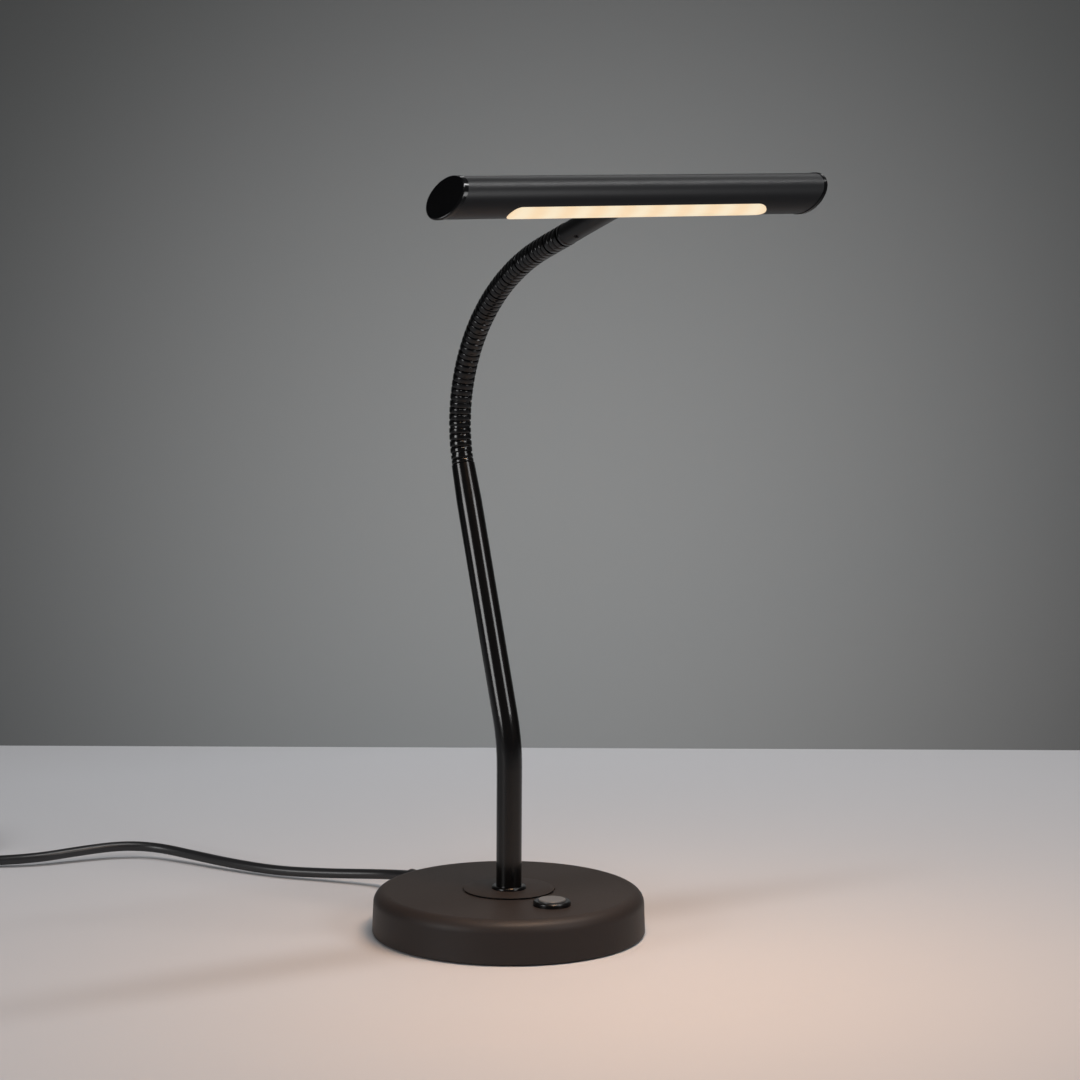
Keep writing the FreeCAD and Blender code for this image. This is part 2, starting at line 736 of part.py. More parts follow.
# --- switch, in its own frame: the middle of the button at (0, 0), heights as in the foot -----
body_low = plate_high + switch_room + switch_tab_drop
body_high = body_low + switch_body_height
barrel_low = body_high + seat_gap
bore_step = bezel_top - bezel_step
flange_high = bore_step - seat_gap
flange_low = flange_high - button_flange
button_top = bezel_top + button_proud
pocket_low = body_high - plunger_reach - button_travel - part_gap


def make_bezel():
    flange = tube(bezel_radius, bezel_bore, base_height + seat_gap, bezel_top)
    rim = [edge for edge in flange.Edges
           if edge.Closed and abs(edge.BoundBox.ZMin - bezel_top) < 1e-6
           and edge.Length > math.pi * (bezel_radius + bezel_bore)]
    flange = flange.makeFillet(min(1.2, bezel_height / 2), rim)
    barrel = tube(bezel_barrel_radius, bezel_bore, bore_step, base_height + seat_gap + 0.2)
    lower = tube(bezel_barrel_radius, bezel_lower_bore, barrel_low, bore_step)
    return joined(flange, barrel, lower)


def make_button():
    cap = cylinder(button_radius, flange_high - 0.2, button_top)
    rim = [edge for edge in cap.Edges if edge.Closed and abs(edge.BoundBox.ZMin - button_top) < 1e-6]
    cap = cap.makeFillet(button_dome, rim)
    flange = cylinder(bezel_lower_bore - slip_gap, flange_low, flange_high)
    plunger = cylinder(plunger_radius, body_high - plunger_reach, flange_low + 0.2)
    return joined(cap, flange, plunger)


def make_switch_body():
    body = cylinder(bezel_barrel_radius, body_low, body_high)
    body = body.cut(cylinder(plunger_radius + running_gap, pocket_low, body_high + 1))
    half = switch_tab_width / 2
    tabs = [box((-half, y - half, body_low - switch_tab_drop), (half, y + half, body_low + 0.5))
            for y in (-switch_tab_place, switch_tab_place)]
    return joined(body, *tabs)


def make_spring():
    low = body_high + spring_wire + seat_gap
    high = flange_low - spring_wire - seat_gap
    helix = Part.makeHelix((high - low) / spring_coils, high - low, spring_radius)
    section = Part.Wire([Part.makeCircle(spring_wire, V(spring_radius, 0, 0), Y_AXIS)])
    spring = Part.Wire(helix.Edges).makePipeShell([section], True, True)
    return placed(spring, V(0, 0, low))


# --- mains entry --------------------------------------------------------------------------
clamp_screw_bite = 3.0
standoff_bite = 5.0
clamp_from_centre = base_radius - clamp_inset
cord_inner_end = clamp_from_centre - cord_inner_past
terminal_high_y = cord_inner_end - core_length
terminal_low_y = terminal_high_y - terminal_length
clamp_middle = clamp_from_centre + clamp_length / 2
clamp_screw_points = [V(side * clamp_screw_spacing / 2, clamp_middle, 0) for side in (-1, 1)]
relief_start = base_radius + seat_gap + gland_flange_thickness
gland_inner_face = math.sqrt(inner_radius ** 2 - gland_inner_flange ** 2) - gland_inner_inset
gland_inner_y = gland_inner_face - gland_flange_thickness
relief_end = base_radius + relief_length
relief_foot = V(0, relief_end, 0)
wire_height = weight_high + wire_lift + wire_radius
lead_drop = driver_x - driver_length / 2 - lead_run
board_bottom = weight_high + standoff_height + seat_gap
standoff_points = [V(driver_x + sx * (driver_length / 2 - standoff_inset),
                     sy * (driver_width / 2 - standoff_inset), 0) for sx in (-1, 1) for sy in (-1, 1)]


def backwards(radius, start, end):
    """Cylinder along +Y at the height of the mains exit."""
    return Part.makeCylinder(radius, end - start, V(0, start, exit_height), Y_AXIS)


def make_gland():
    outer_flange = backwards(gland_flange, base_radius + seat_gap, relief_start)
    neck = backwards(gland_hole - slip_gap, gland_inner_y + seat_gap, relief_start - 0.5)
    inner_flange = backwards(gland_inner_flange, gland_inner_y, gland_inner_face)
    relief = Part.makeCone(relief_root, relief_tip, relief_end - relief_start + 0.5,
                           V(0, relief_start - 0.5, exit_height), Y_AXIS)
    gland = joined(outer_flange, neck, inner_flange, relief)
    return gland.cut(backwards(cord_radius + seat_gap, 0, relief_end + 1))


def make_cord_clamp():
    low = channel_floor + seat_gap
    high = exit_height + cord_radius + seat_gap + clamp_roof
    bridge = box((-clamp_half_width, clamp_from_centre, low),
                 (clamp_half_width, clamp_from_centre + clamp_length, high))
    passage = cord_radius + seat_gap
    bridge = bridge.cut(backwards(passage, 0, base_radius))
    bridge = bridge.cut(box((-passage, 0, 0), (passage, base_radius, exit_height)))
    for point in clamp_screw_points:
        bridge = bridge.cut(placed(cylinder(clamp_screw_radius + seat_gap, 0, base_height), point))
    return bridge, high


def make_clamp_screws(clamp_top):
    low = clamp_top + seat_gap
    screw = joined(cylinder(clamp_screw_head, low, low + clamp_screw_head_height),
                   cylinder(clamp_screw_radius, channel_floor - clamp_screw_bite + part_gap, low + 0.1))
    return [placed(screw, point) for point in clamp_screw_points]


def make_terminal_block():
    low = channel_floor + seat_gap
    high = low + terminal_height
    block = box((-terminal_width / 2, terminal_low_y, low), (terminal_width / 2, terminal_high_y, high))
    for side in (-1, 1):
        place = V(side * terminal_width / 4, (terminal_low_y + terminal_high_y) / 2, 0)
        block = block.cut(placed(cylinder(terminal_screw_hole, high - terminal_screw_depth, high + 1), place))
    return block


def wire(radius, turn, *points):
    """Round wire along straight runs with small bends."""
    corners = [V(*point) for point in points]
    path = rounded_path(corners, [turn] * (len(corners) - 2))
    return rod_along(path, radius, corners[1] - corners[0])


def make_base_wires():
    """Cores of the mains lead, and the wires between terminal block, switch and driver board."""
    cores = [Part.makeCylinder(core_radius, core_length - 2 * seat_gap,
                               V(side * core_offset, terminal_high_y + seat_gap, exit_height), Y_AXIS)
             for side in (-1, 1)]
    block_face = terminal_low_y - seat_gap
    tab_x = switch_tab_width / 2 + part_gap
    down_x = (bezel_barrel_radius + switch_well_radius) / 2
    tab_z = body_low - switch_tab_drop / 2
    board_z = board_bottom + driver_thickness / 2
    board_side = driver_width / 2 + part_gap
    board_x = driver_x - 9
    beside_boss = boss_radius + standoff_radius
    live = wire(wire_radius, wire_turn, (-4, block_face, wire_height), (-4, block_face - 6, wire_height),
                (-beside_boss, 20, wire_height), (-beside_boss - 3, -22, wire_height),
                (-down_x, -switch_distance, wire_height), (-down_x, -switch_distance, tab_z),
                (-tab_x - wire_radius, switch_tab_place - switch_distance, tab_z))
    switched = wire(wire_radius, wire_turn, (tab_x + wire_radius, -switch_tab_place - switch_distance, tab_z),
                    (down_x, -switch_distance, tab_z), (down_x, -switch_distance, wire_height),
                    (board_x - 8, -switch_distance + 12, wire_height),
                    (board_x, -board_side - 5, wire_height + 0.6), (board_x, -board_side, board_z))
    neutral = wire(wire_radius, wire_turn, (4, block_face, wire_height), (4, block_face - 6, wire_height),
                   (board_x - 8, board_side + 14, wire_height),
                   (board_x, board_side + 5, wire_height + 0.6), (board_x, board_side, board_z))
    return cores + [live, switched, neutral]


def make_stem_lead():
    """Lead from the driver board down through the weight and up the stem to the neck's foot."""
    board_z = board_bottom + driver_thickness / 2
    under_z = weight_low + lead_radius + part_gap
    board_edge = driver_x - driver_length / 2 - part_gap
    top = stem_top + upwards(-stem_lean) * (neck_stub + ball_radius - lead_in_ball)
    corners = [V(board_edge, 0, board_z), V(lead_drop, 0, board_z), V(lead_drop, 0, under_z),
               V(0, 0, under_z), stem_corner, top]
    turns = [lead_turn] * 3 + [stem_bend_radius]
    return rod_along(rounded_path(corners, turns), lead_radius, corners[1] - corners[0])


def make_driver_board():
    board = box((driver_x - driver_length / 2, -driver_width / 2, board_bottom),
                (driver_x + driver_length / 2, driver_width / 2, board_bottom + driver_thickness))
    for point in standoff_points:
        board = board.cut(placed(cylinder(board_screw_radius + seat_gap, 0, base_height), point))
    return board


def make_driver_screws():
    top = board_bottom + driver_thickness + seat_gap
    screw = joined(cylinder(board_screw_head, top, top + board_screw_head_height),
                   cylinder(board_screw_radius, weight_high - standoff_bite + part_gap, top + 0.1))
    return [placed(screw, point) for point in standoff_points]


def make_driver_parts():
    low = board_bottom + driver_thickness + seat_gap
    high = low + driver_part_height
    middle = low + driver_part_height / 2
    transformer = box((driver_x - 7, -6, low), (driver_x + 5, 6, high))
    capacitor = Part.makeCylinder(driver_part_height / 2, 9, V(driver_x + 9, -4.5, middle), Y_AXIS)
    chip = box((driver_x - 14, -3, low), (driver_x - 10, 3, middle))
    return transformer, capacitor, chip


# --- mains lead on the table --------------------------------------------------------------
def make_route_rod(name, route):
    points = [V(*point) + relief_foot for point in route]
    radii = free_radii(points)
    path = rounded_path(points, radii)
    rod = rod_along(path, cord_radius, points[1] - points[0])
    expected = math.pi * cord_radius ** 2 * path.Length
    print(name, "length", round(path.Length, 1), "radii", [round(radius) for radius in radii],
          "volume ratio", round(rod.Volume / expected, 4))
    return rod


turn_gap = 2 * cord_radius
layer_rise = turn_gap * math.sqrt(3) / 2
coil_inner = coil_mean_radius - (coil_lower_turns - 1) / 2 * turn_gap - cord_radius
coil_outer = coil_mean_radius + (coil_lower_turns - 1) / 2 * turn_gap + cord_radius
coil_height = turn_gap + layer_rise
coil_centre = V(*coil_middle) + relief_foot


def coil_section(inset):
    """Outline across the wound lead: broad lower layer, narrower upper one."""
    shelf = cord_radius * 0.8
    step = turn_gap * (coil_lower_turns - coil_upper_turns) / 2
    return [(coil_inner + inset, inset), (coil_outer - inset, inset),
            (coil_outer - inset, turn_gap - shelf), (coil_outer - step - inset, coil_height - inset),
            (coil_inner + step + inset, coil_height - inset), (coil_inner + inset, turn_gap - shelf)]


def make_tie(thickness, width):
    """Band wrapped round the wound lead at one place."""
    points = [V(r, 0, z) for r, z in coil_section(0)]
    outer = Part.Face(Part.makePolygon(points + points[:1]))
    points = [V(r, 0, z) for r, z in coil_section(thickness)]
    inner = Part.Face(Part.makePolygon(points + points[:1]))
    sweep = math.degrees(width / coil_mean_radius)
    band = outer.cut(inner).Faces[0].revolve(V(0, 0, 0), Z_AXIS, sweep)
    return placed(band, coil_centre, FreeCAD.Rotation(Z_AXIS, tie_bearing - sweep / 2))


def make_coil():
    ring = placed(lathe(coil_section(0)), coil_centre)
    return ring.cut(make_tie(tie_thickness + seat_gap, tie_width + 2 * seat_gap))


plug_turn = FreeCAD.Rotation(Z_AXIS, plug_bearing)
plug_entry = V(*tail_route[-1]) + relief_foot


def make_plug_body():
    """Flat two-pin plug lying on its broad side, from its sleeve's end forwards along +Y."""
    rear = plug_relief
    front = plug_relief + plug_length
    outline = [V(-plug_waist / 2, rear, 0), V(-plug_width / 2, front - plug_front, 0),
               V(-plug_width / 2, front, 0), V(plug_width / 2, front, 0),
               V(plug_width / 2, front - plug_front, 0), V(plug_waist / 2, rear, 0)]
    body = Part.Face(Part.makePolygon(outline + outline[:1])).extrude(V(0, 0, plug_thickness))
    body = body.makeFillet(plug_rounding, body.Edges)
    sleeve = Part.makeCone(cord_radius + plug_relief_wall, plug_relief_root, plug_relief + 3,
                           V(0, 0, plug_thickness / 2), Y_AXIS)
    plug = placed(joined(body, sleeve), V(0, 0, -plug_thickness / 2))
    return placed(plug, plug_entry, plug_turn)


def make_plug_pins():
    start = plug_relief + plug_length + seat_gap
    pins = []
    for side in (-1, 1):
        pin = Part.makeCylinder(pin_radius, pin_length, V(side * pin_spacing / 2, start, 0), Y_AXIS)
        tip = [edge for edge in pin.Edges
               if edge.Closed and abs(edge.BoundBox.YMin - start - pin_length) < 1e-6]
        pins.append(placed(pin.makeFillet(pin_radius * 0.6, tip), plug_entry, plug_turn))
    return pins


# --- write every part ---------------------------------------------------------------------
def main():
    os.makedirs("parts", exist_ok=True)
    switch_at = V(0, -switch_distance, 0)
    ferrule_at = ball_points[-1]
    ferrule_turn = about_x(head_angle)

    write("foot_pad", cylinder(inner_radius - pad_inset, 0, pad_thickness))
    write("base_plate", make_base_plate())
    write("plate_screws", *[placed(plate_screw(), point) for point in plate_screw_points])
    write("base_weight", make_base_weight())
    write("base_shell", make_base_shell())
    disc = tube(hub_disc_radius, nipple_hole, base_height - hub_disc_thickness, base_height)
    write("hub_disc", disc)
    write("stem_collar", make_collar())
    nipple_high = stem_foot.z + nipple_engagement - part_gap
    write("stem_nipple", tube(nipple_radius, nipple_bore, nut_low, nipple_high))
    nut = hexagon(nut_flats, nut_low, nut_low + nut_thickness).cut(cylinder(insert_bore, 0, base_height))
    write("nipple_nut", nut)
    write("nipple_washer", tube(washer_radius, nipple_hole, washer_low, washer_low + washer_thickness))
    write("stem_insert", make_stem_insert())
    write("stem_tube", make_stem())
    write("stem_lead", make_stem_lead())

    write("neck_anchor", placed(make_anchor(), ball_points[0], about_x(-stem_lean)))
    link = make_link()
    link_lead = make_link_lead()
    for k in range(neck_links):
        turn = about_x(link_angles[k])
        write(f"neck_link_{k + 1:02d}", *[placed(shape, ball_points[k], turn) for shape in (link, link_lead)])
    write("neck_ferrule", placed(make_ferrule(), ferrule_at, ferrule_turn))
    write("ferrule_grub_screw", placed(make_grub_screw(), ferrule_at, ferrule_turn))

    head_parts = {
        "head_socket": [make_head_socket()],
        "saddle_washer": [make_saddle_washer()],
        "head_nut": [make_head_nut()],
        "head_lead": [make_head_lead()],
        "head_tube": [make_head_tube()],
        "end_cap_left": [make_end_cap(-1)],
        "end_cap_right": [make_end_cap(1)],
        "led_carrier": [make_carrier()],
        "led_board": [make_led_board()],
        "led_chips": make_leds(),
        "board_screws": make_board_screws(),
        "diffuser": [make_diffuser()],
    }
    for node, shapes in head_parts.items():
        write(node, *[placed(shape, head_centre, head_turn) for shape in shapes])

    write("switch_bezel", placed(make_bezel(), switch_at))
    ring_nut_high = shell_ceiling - seat_gap
    ring_nut = tube(ring_nut_radius, bezel_barrel_radius + seat_gap, ring_nut_high - ring_nut_thickness,
                    ring_nut_high)
    write("switch_ring_nut", placed(ring_nut, switch_at))
    write("switch_button", placed(make_button(), switch_at))
    write("switch_body", placed(make_switch_body(), switch_at))
    write("switch_spring", placed(make_spring(), switch_at))

    write("driver_board", make_driver_board())
    write("driver_screws", *make_driver_screws())
    write("driver_parts", *make_driver_parts())

    write("cord_gland", make_gland())
    clamp, clamp_top = make_cord_clamp()
    write("cord_clamp", clamp)
    write("clamp_screws", *make_clamp_screws(clamp_top))
    write("terminal_block", make_terminal_block())
    write("base_wires", *make_base_wires())
    write("cord_inner", backwards(cord_radius, cord_inner_end, relief_end))
    write("cord", make_route_rod("cord", cord_route))
    write("cord_coil", make_coil())
    write("cord_tail", make_route_rod("cord_tail", tail_route))
    write("cord_tie", make_tie(tie_thickness, tie_width))
    write("plug_body", make_plug_body())
    write("plug_pins", *make_plug_pins())

    print("stem top", stem_top, "head centre", head_centre, "head angle", round(head_angle, 2))


main()
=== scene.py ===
"""Piano lamp with a weighted round foot, a push switch, a bending ribbed neck and a tubular light head."""
import json
import math

import bmesh
import bpy
from bpy.props import FloatProperty, FloatVectorProperty, IntProperty, PointerProperty
from mathutils import Matrix, Vector


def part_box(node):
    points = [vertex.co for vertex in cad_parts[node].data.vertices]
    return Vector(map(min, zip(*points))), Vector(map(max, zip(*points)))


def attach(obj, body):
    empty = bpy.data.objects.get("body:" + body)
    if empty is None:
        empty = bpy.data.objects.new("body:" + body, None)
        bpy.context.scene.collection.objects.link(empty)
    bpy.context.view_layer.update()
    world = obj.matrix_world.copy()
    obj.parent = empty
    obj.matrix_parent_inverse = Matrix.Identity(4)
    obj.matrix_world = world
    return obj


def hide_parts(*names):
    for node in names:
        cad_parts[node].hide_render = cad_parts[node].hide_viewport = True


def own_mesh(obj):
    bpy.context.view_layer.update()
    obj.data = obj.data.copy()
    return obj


bl_info = {
    "name": "Piano lamp",
    "version": (1, 0, 0),
    "blender": (4, 5, 0),
    "location": "3D View > Sidebar > Piano lamp",
    "description": "Dresses a piano lamp's solids: finishes, ribbed neck, mains lead and studio",
    "category": "Object",
}

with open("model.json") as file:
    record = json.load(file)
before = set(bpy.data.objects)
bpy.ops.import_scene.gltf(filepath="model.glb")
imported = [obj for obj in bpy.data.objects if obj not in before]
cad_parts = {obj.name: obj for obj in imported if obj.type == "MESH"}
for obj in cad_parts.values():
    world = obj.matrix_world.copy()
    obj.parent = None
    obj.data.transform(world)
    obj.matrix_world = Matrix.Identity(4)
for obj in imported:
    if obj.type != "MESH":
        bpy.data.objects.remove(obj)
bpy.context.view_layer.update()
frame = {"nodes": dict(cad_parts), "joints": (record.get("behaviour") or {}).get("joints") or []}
NODES = frame["nodes"]
MM = 0.001


def linear(code):
    """Linear colour of an sRGB hex code such as '#8a7f70'."""
    channels = [int(code[i:i + 2], 16) / 255 for i in (1, 3, 5)]
    return tuple(c / 12.92 if c <= 0.04045 else ((c + 0.055) / 1.055) ** 2.4 for c in channels)


# --- driving sizes, in metres and in the solids' frame ------------------------------------
NECK_BALLS = [Vector(j["pos_m"]) for j in frame["joints"] if j["name"].startswith("neck_")]
NECK_BODIES = ["base"] + [j["child"] for j in frame["joints"] if j["name"].startswith("neck_")]
NECK_PITCH = (NECK_BALLS[1] - NECK_BALLS[0]).length
STEM_LEAN = math.radians(18.13)
NECK_STUB = 5.95 * MM        # from the stem's end to the lowest ball's middle
RIBS_PAST_BALL = 1.2 * MM    # from the last ball's middle to the end of the ribs
JOINT_GAP = 0.7 * MM         # from the middle of a joint's groove to the lip of a sleeve
BALL_RADIUS = 5.55 * MM      # the ball that shows in a joint's groove
CUP_RADIUS = 5.7 * MM        # the hollow under a sleeve, round that ball
TOP_BALL_RADIUS = 3.6 * MM   # the ball in the ferrule
TOP_JOINT = -2.2 * MM        # middle of the groove under the ferrule, from the last ball's middle
HEAD_CENTRE = sum(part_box("head_tube"), Vector()) / 2
HEAD_WAY = (HEAD_CENTRE - NECK_BALLS[-1]).normalized()    # the way the arm points
HUB_STEP = 0.8 * MM          # how far the dressed disc stands over the foot's cover
SPRING_WIRE = 0.3 * MM       # radius of the switch spring's wire
SPRING_TURNS = 4.5
LED_COUNT = 9
DIFFUSER_FACE = 11.2 * MM    # from the head's middle to just outside the diffuser
SLOT_TURN = math.radians(12.85)   # middle of the head's slot, from the arm's underside to the front
TIE_BEARING = math.radians(20)    # where the band sits on the coil
TIE_LIFT = 0.9 * MM          # how far the coil rises over its band

# The lead's line in millimetres: its way to the coil, the coil's middle and radii, its tail to the plug.
LEAD_ROUTE = [
    (0.0, 103.0, 11.0), (-1.5, 116.0, 9.0), (-9.5, 133.0, 7.0), (-25.0, 155.0, 4.9), (-45.0, 179.0, 4.0),
    (-60.0, 209.0, 4.4), (-72.0, 239.0, 5.5), (-83.0, 261.0, 7.0), (-100.5, 272.0, 8.0),
    (-125.0, 276.5, 7.0), (-157.0, 280.0, 5.0), (-196.0, 304.5, 3.0), (-220.6, 321.3, 2.9),
]
COIL_CENTRE = (-198.4, 355.4)
COIL_TURNS = {"lower": 3.0, "climb": 1.0, "upper": 2.0, "last": 1.25}
COIL_RADII = {"outside": 40.7, "inside": 23.3, "upper inside": 26.2, "upper outside": 37.8}
TAIL_ROUTE = [
    (-230.1, 376.0, 8.0), (-222.9, 388.0, 7.3), (-215.8, 401.2, 3.5), (-209.4, 413.8, 3.0),
    (-202.6, 426.1, 5.5), (-195.0, 437.9, 6.85),
]


# --- settings shown in the sidebar --------------------------------------------------------
class LampFinish(bpy.types.PropertyGroup):
    """Colours of the lamp's outside"""
    foot: FloatVectorProperty(
        name="Foot", description="Textured coat on the foot", subtype="COLOR",
        default=linear("#2a2625"), min=0, max=1)
    lacquer: FloatVectorProperty(
        name="Stem and neck", description="Gloss lacquer on the stem, neck and caps", subtype="COLOR",
        default=linear("#070708"), min=0, max=1)
    head: FloatVectorProperty(
        name="Head", description="Satin paint on the head's tube", subtype="COLOR",
        default=linear("#19191b"), min=0, max=1)
    light: FloatVectorProperty(
        name="Light", description="Colour that the diffuser glows in", subtype="COLOR",
        default=linear("#ffe6c2"), min=0, max=1)


class LampNeck(bpy.types.PropertyGroup):
    """Shape of the neck's ribbed sleeve"""
    ribs: IntProperty(
        name="Ribs per joint", description="Ribs between two ball joints' middles", default=4, min=3, max=8)
    crest: FloatProperty(
        name="Crest radius", description="Radius over the ribs", default=6.1 * MM, min=0.004, max=0.008,
        unit="LENGTH", subtype="DISTANCE")
    depth: FloatProperty(
        name="Rib depth", description="Depth of the grooves between ribs", default=0.65 * MM, min=0.0001,
        max=0.0015, unit="LENGTH", subtype="DISTANCE")


class LampLead(bpy.types.PropertyGroup):
    """Mains lead"""
    diameter: FloatProperty(
        name="Diameter", description="Outer diameter of the mains lead", default=5.8 * MM, min=0.004,
        max=0.009, unit="LENGTH", subtype="DISTANCE")
    points: IntProperty(
        name="Points per turn", description="Control points on each turn of the coil", default=24, min=12,
        max=36)


class LampStudio(bpy.types.PropertyGroup):
    """Table, wall, lights and camera"""
    table: FloatVectorProperty(
        name="Table", description="Colour of the table", subtype="COLOR", default=linear("#bcbcbf"), min=0,
        max=1)
    wall: FloatVectorProperty(
        name="Wall", description="Colour of the wall where it is brightest", subtype="COLOR",
        default=linear("#9c9e9e"), min=0, max=1)
    turn: FloatProperty(
        name="Lamp's turn", description="How far the camera stands round the lamp from its front",
        default=math.radians(33), subtype="ANGLE", unit="ROTATION")
    distance: FloatProperty(
        name="Distance", description="Camera to the foot's centre, along the table", default=1.7715,
        unit="LENGTH", subtype="DISTANCE")
    height: FloatProperty(
        name="Height", description="Camera's height over the table", default=0.4524,
        unit="LENGTH", subtype="DISTANCE")
    pitch: FloatProperty(
        name="Pitch", description="How far the camera looks down", default=math.radians(7.553),
        subtype="ANGLE", unit="ROTATION")
    yaw: FloatProperty(
        name="Yaw", description="How far the camera looks to the right of the foot",
        default=math.radians(0.516), subtype="ANGLE", unit="ROTATION")
    roll: FloatProperty(
        name="Roll", description="How far the camera leans", default=math.radians(0.349),
        subtype="ANGLE", unit="ROTATION")
    lens: FloatProperty(name="Lens", description="Focal length in millimetres", default=110, min=20, max=300)


# --- materials ----------------------------------------------------------------------------
MIX_A, MIX_B, MIX_RESULT = 6, 7, 2     # the colour sockets of a Mix node


def add(tree, kind, inputs=(), **settings):
    """Adds a node with its settings; a socket among its inputs is linked, a value is set."""
    node = tree.nodes.new(kind)
    for name, value in settings.items():
        setattr(node, name, value)
    for name, value in dict(inputs).items():
        if isinstance(value, bpy.types.NodeSocket):
            tree.links.new(value, node.inputs[name])
        else:
            node.inputs[name].default_value = value
    return node


def new_material(name, **values):
    """Material with a Principled shader on its output; returns it with its tree and shader."""
    material = bpy.data.materials.new(name)
    material.use_nodes = True
    tree = material.node_tree
    tree.nodes.clear()
    shader = add(tree, "ShaderNodeBsdfPrincipled", {key.replace("_", " "): v for key, v in values.items()})
    add(tree, "ShaderNodeOutputMaterial", {"Surface": shader.outputs["BSDF"]})
    return material, tree, shader


def surface(name, colour, roughness, grain, relief, patch=25 * MM, uneven=0.12, spread=0.06,
            stretch=(1, 1, 1), **values):
    """Finish with a fine relief of a given grain size, and wide patches of slightly uneven colour and gloss.

    grain and patch are sizes of the real pattern in metres, relief is its depth in metres.
    """
    if name in bpy.data.materials:
        return bpy.data.materials[name]
    material, tree, shader = new_material(name, **values)
    place = add(tree, "ShaderNodeTexCoord").outputs["Object"]
    if stretch != (1, 1, 1):
        place = add(tree, "ShaderNodeMapping", {"Vector": place, "Scale": stretch}).outputs["Vector"]
    fine = add(tree, "ShaderNodeTexNoise",
               {"Vector": place, "Scale": 1 / grain, "Detail": 2.0, "Roughness": 0.6}).outputs["Fac"]
    wide = add(tree, "ShaderNodeTexNoise",
               {"Vector": place, "Scale": 1 / patch, "Detail": 3.0, "Roughness": 0.5}).outputs["Fac"]
    darker = tuple(c * (1 - uneven) for c in colour)
    lighter = tuple(min(1, c * (1 + uneven)) for c in colour)
    tint = add(tree, "ShaderNodeMix", {0: wide, MIX_A: (*darker, 1), MIX_B: (*lighter, 1)}, data_type="RGBA")
    tree.links.new(tint.outputs[MIX_RESULT], shader.inputs["Base Color"])
    gloss = add(tree, "ShaderNodeMapRange",
                {"Value": fine, "To Min": roughness - spread, "To Max": roughness + spread})
    tree.links.new(gloss.outputs["Result"], shader.inputs["Roughness"])
    bump = add(tree, "ShaderNodeBump", {"Height": fine, "Strength": 1.0, "Distance": relief})
    tree.links.new(bump.outputs["Normal"], shader.inputs["Normal"])
    return material


def paint(material, *objects):
    """Gives objects or nodes, by name, one material."""
    for item in objects:
        obj = NODES[item] if isinstance(item, str) else item
        obj.data.materials.clear()
        obj.data.materials.append(material)


# --- mesh helpers -------------------------------------------------------------------------
def new_object(name, data):
    """Puts an object in the scene, at the origin."""
    obj = bpy.data.objects.new(name, data)
    bpy.context.scene.collection.objects.link(obj)
    return obj


def mesh_object(name, mesh, material):
    """Turns a bmesh into a painted object."""
    data = bpy.data.meshes.new(name)
    mesh.to_mesh(data)
    mesh.free()
    obj = new_object(name, data)
    paint(material, obj)
    return obj


def finish_piece(name, mesh, material, body):
    """Turns a bmesh into a smooth-shaded piece that rides on a body."""
    bmesh.ops.recalc_face_normals(mesh, faces=mesh.faces)
    for face in mesh.faces:
        face.smooth = True
    for edge in mesh.edges:
        edge.smooth = len(edge.link_faces) != 2 or edge.calc_face_angle(0) < math.radians(50)
    obj = mesh_object(name, mesh, material)
    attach(obj, body)
    return obj


def turned_ring(outline, steps):
    """Closed outline of (radius, height) points, turned once round Z."""
    mesh = bmesh.new()
    verts = [mesh.verts.new((radius, 0, height)) for radius, height in outline]
    edges = [mesh.edges.new(pair) for pair in zip(verts, verts[1:] + verts[:1])]
    bmesh.ops.spin(mesh, geom=verts + edges, cent=(0, 0, 0), axis=(0, 0, 1), angle=2 * math.pi, steps=steps,
                   use_merge=True)
    return mesh


def skin_rings(rings, segments):
    """Closed skin through (centre, turn about X, radius) rings, extruded from each ring to the next."""
    mesh = bmesh.new()
    places = [Matrix.Translation(centre) @ Matrix.Rotation(turn, 4, "X") @ Matrix.Scale(radius, 4)
              for centre, turn, radius in rings]
    first = bmesh.ops.create_circle(mesh, segments=segments, radius=1.0, matrix=places[0])
    edges = list({edge for vert in first["verts"] for edge in vert.link_edges})
    bmesh.ops.holes_fill(mesh, edges=edges, sides=segments)
    for before, after in zip(places, places[1:]):
        made = bmesh.ops.extrude_edge_only(mesh, edges=edges)["geom"]
        verts = [item for item in made if isinstance(item, bmesh.types.BMVert)]
        edges = [item for item in made if isinstance(item, bmesh.types.BMEdge)
                 and all(vert in verts for vert in item.verts)]
        bmesh.ops.transform(mesh, matrix=after @ before.inverted(), verts=verts)
    bmesh.ops.holes_fill(mesh, edges=edges, sides=segments)
    return mesh


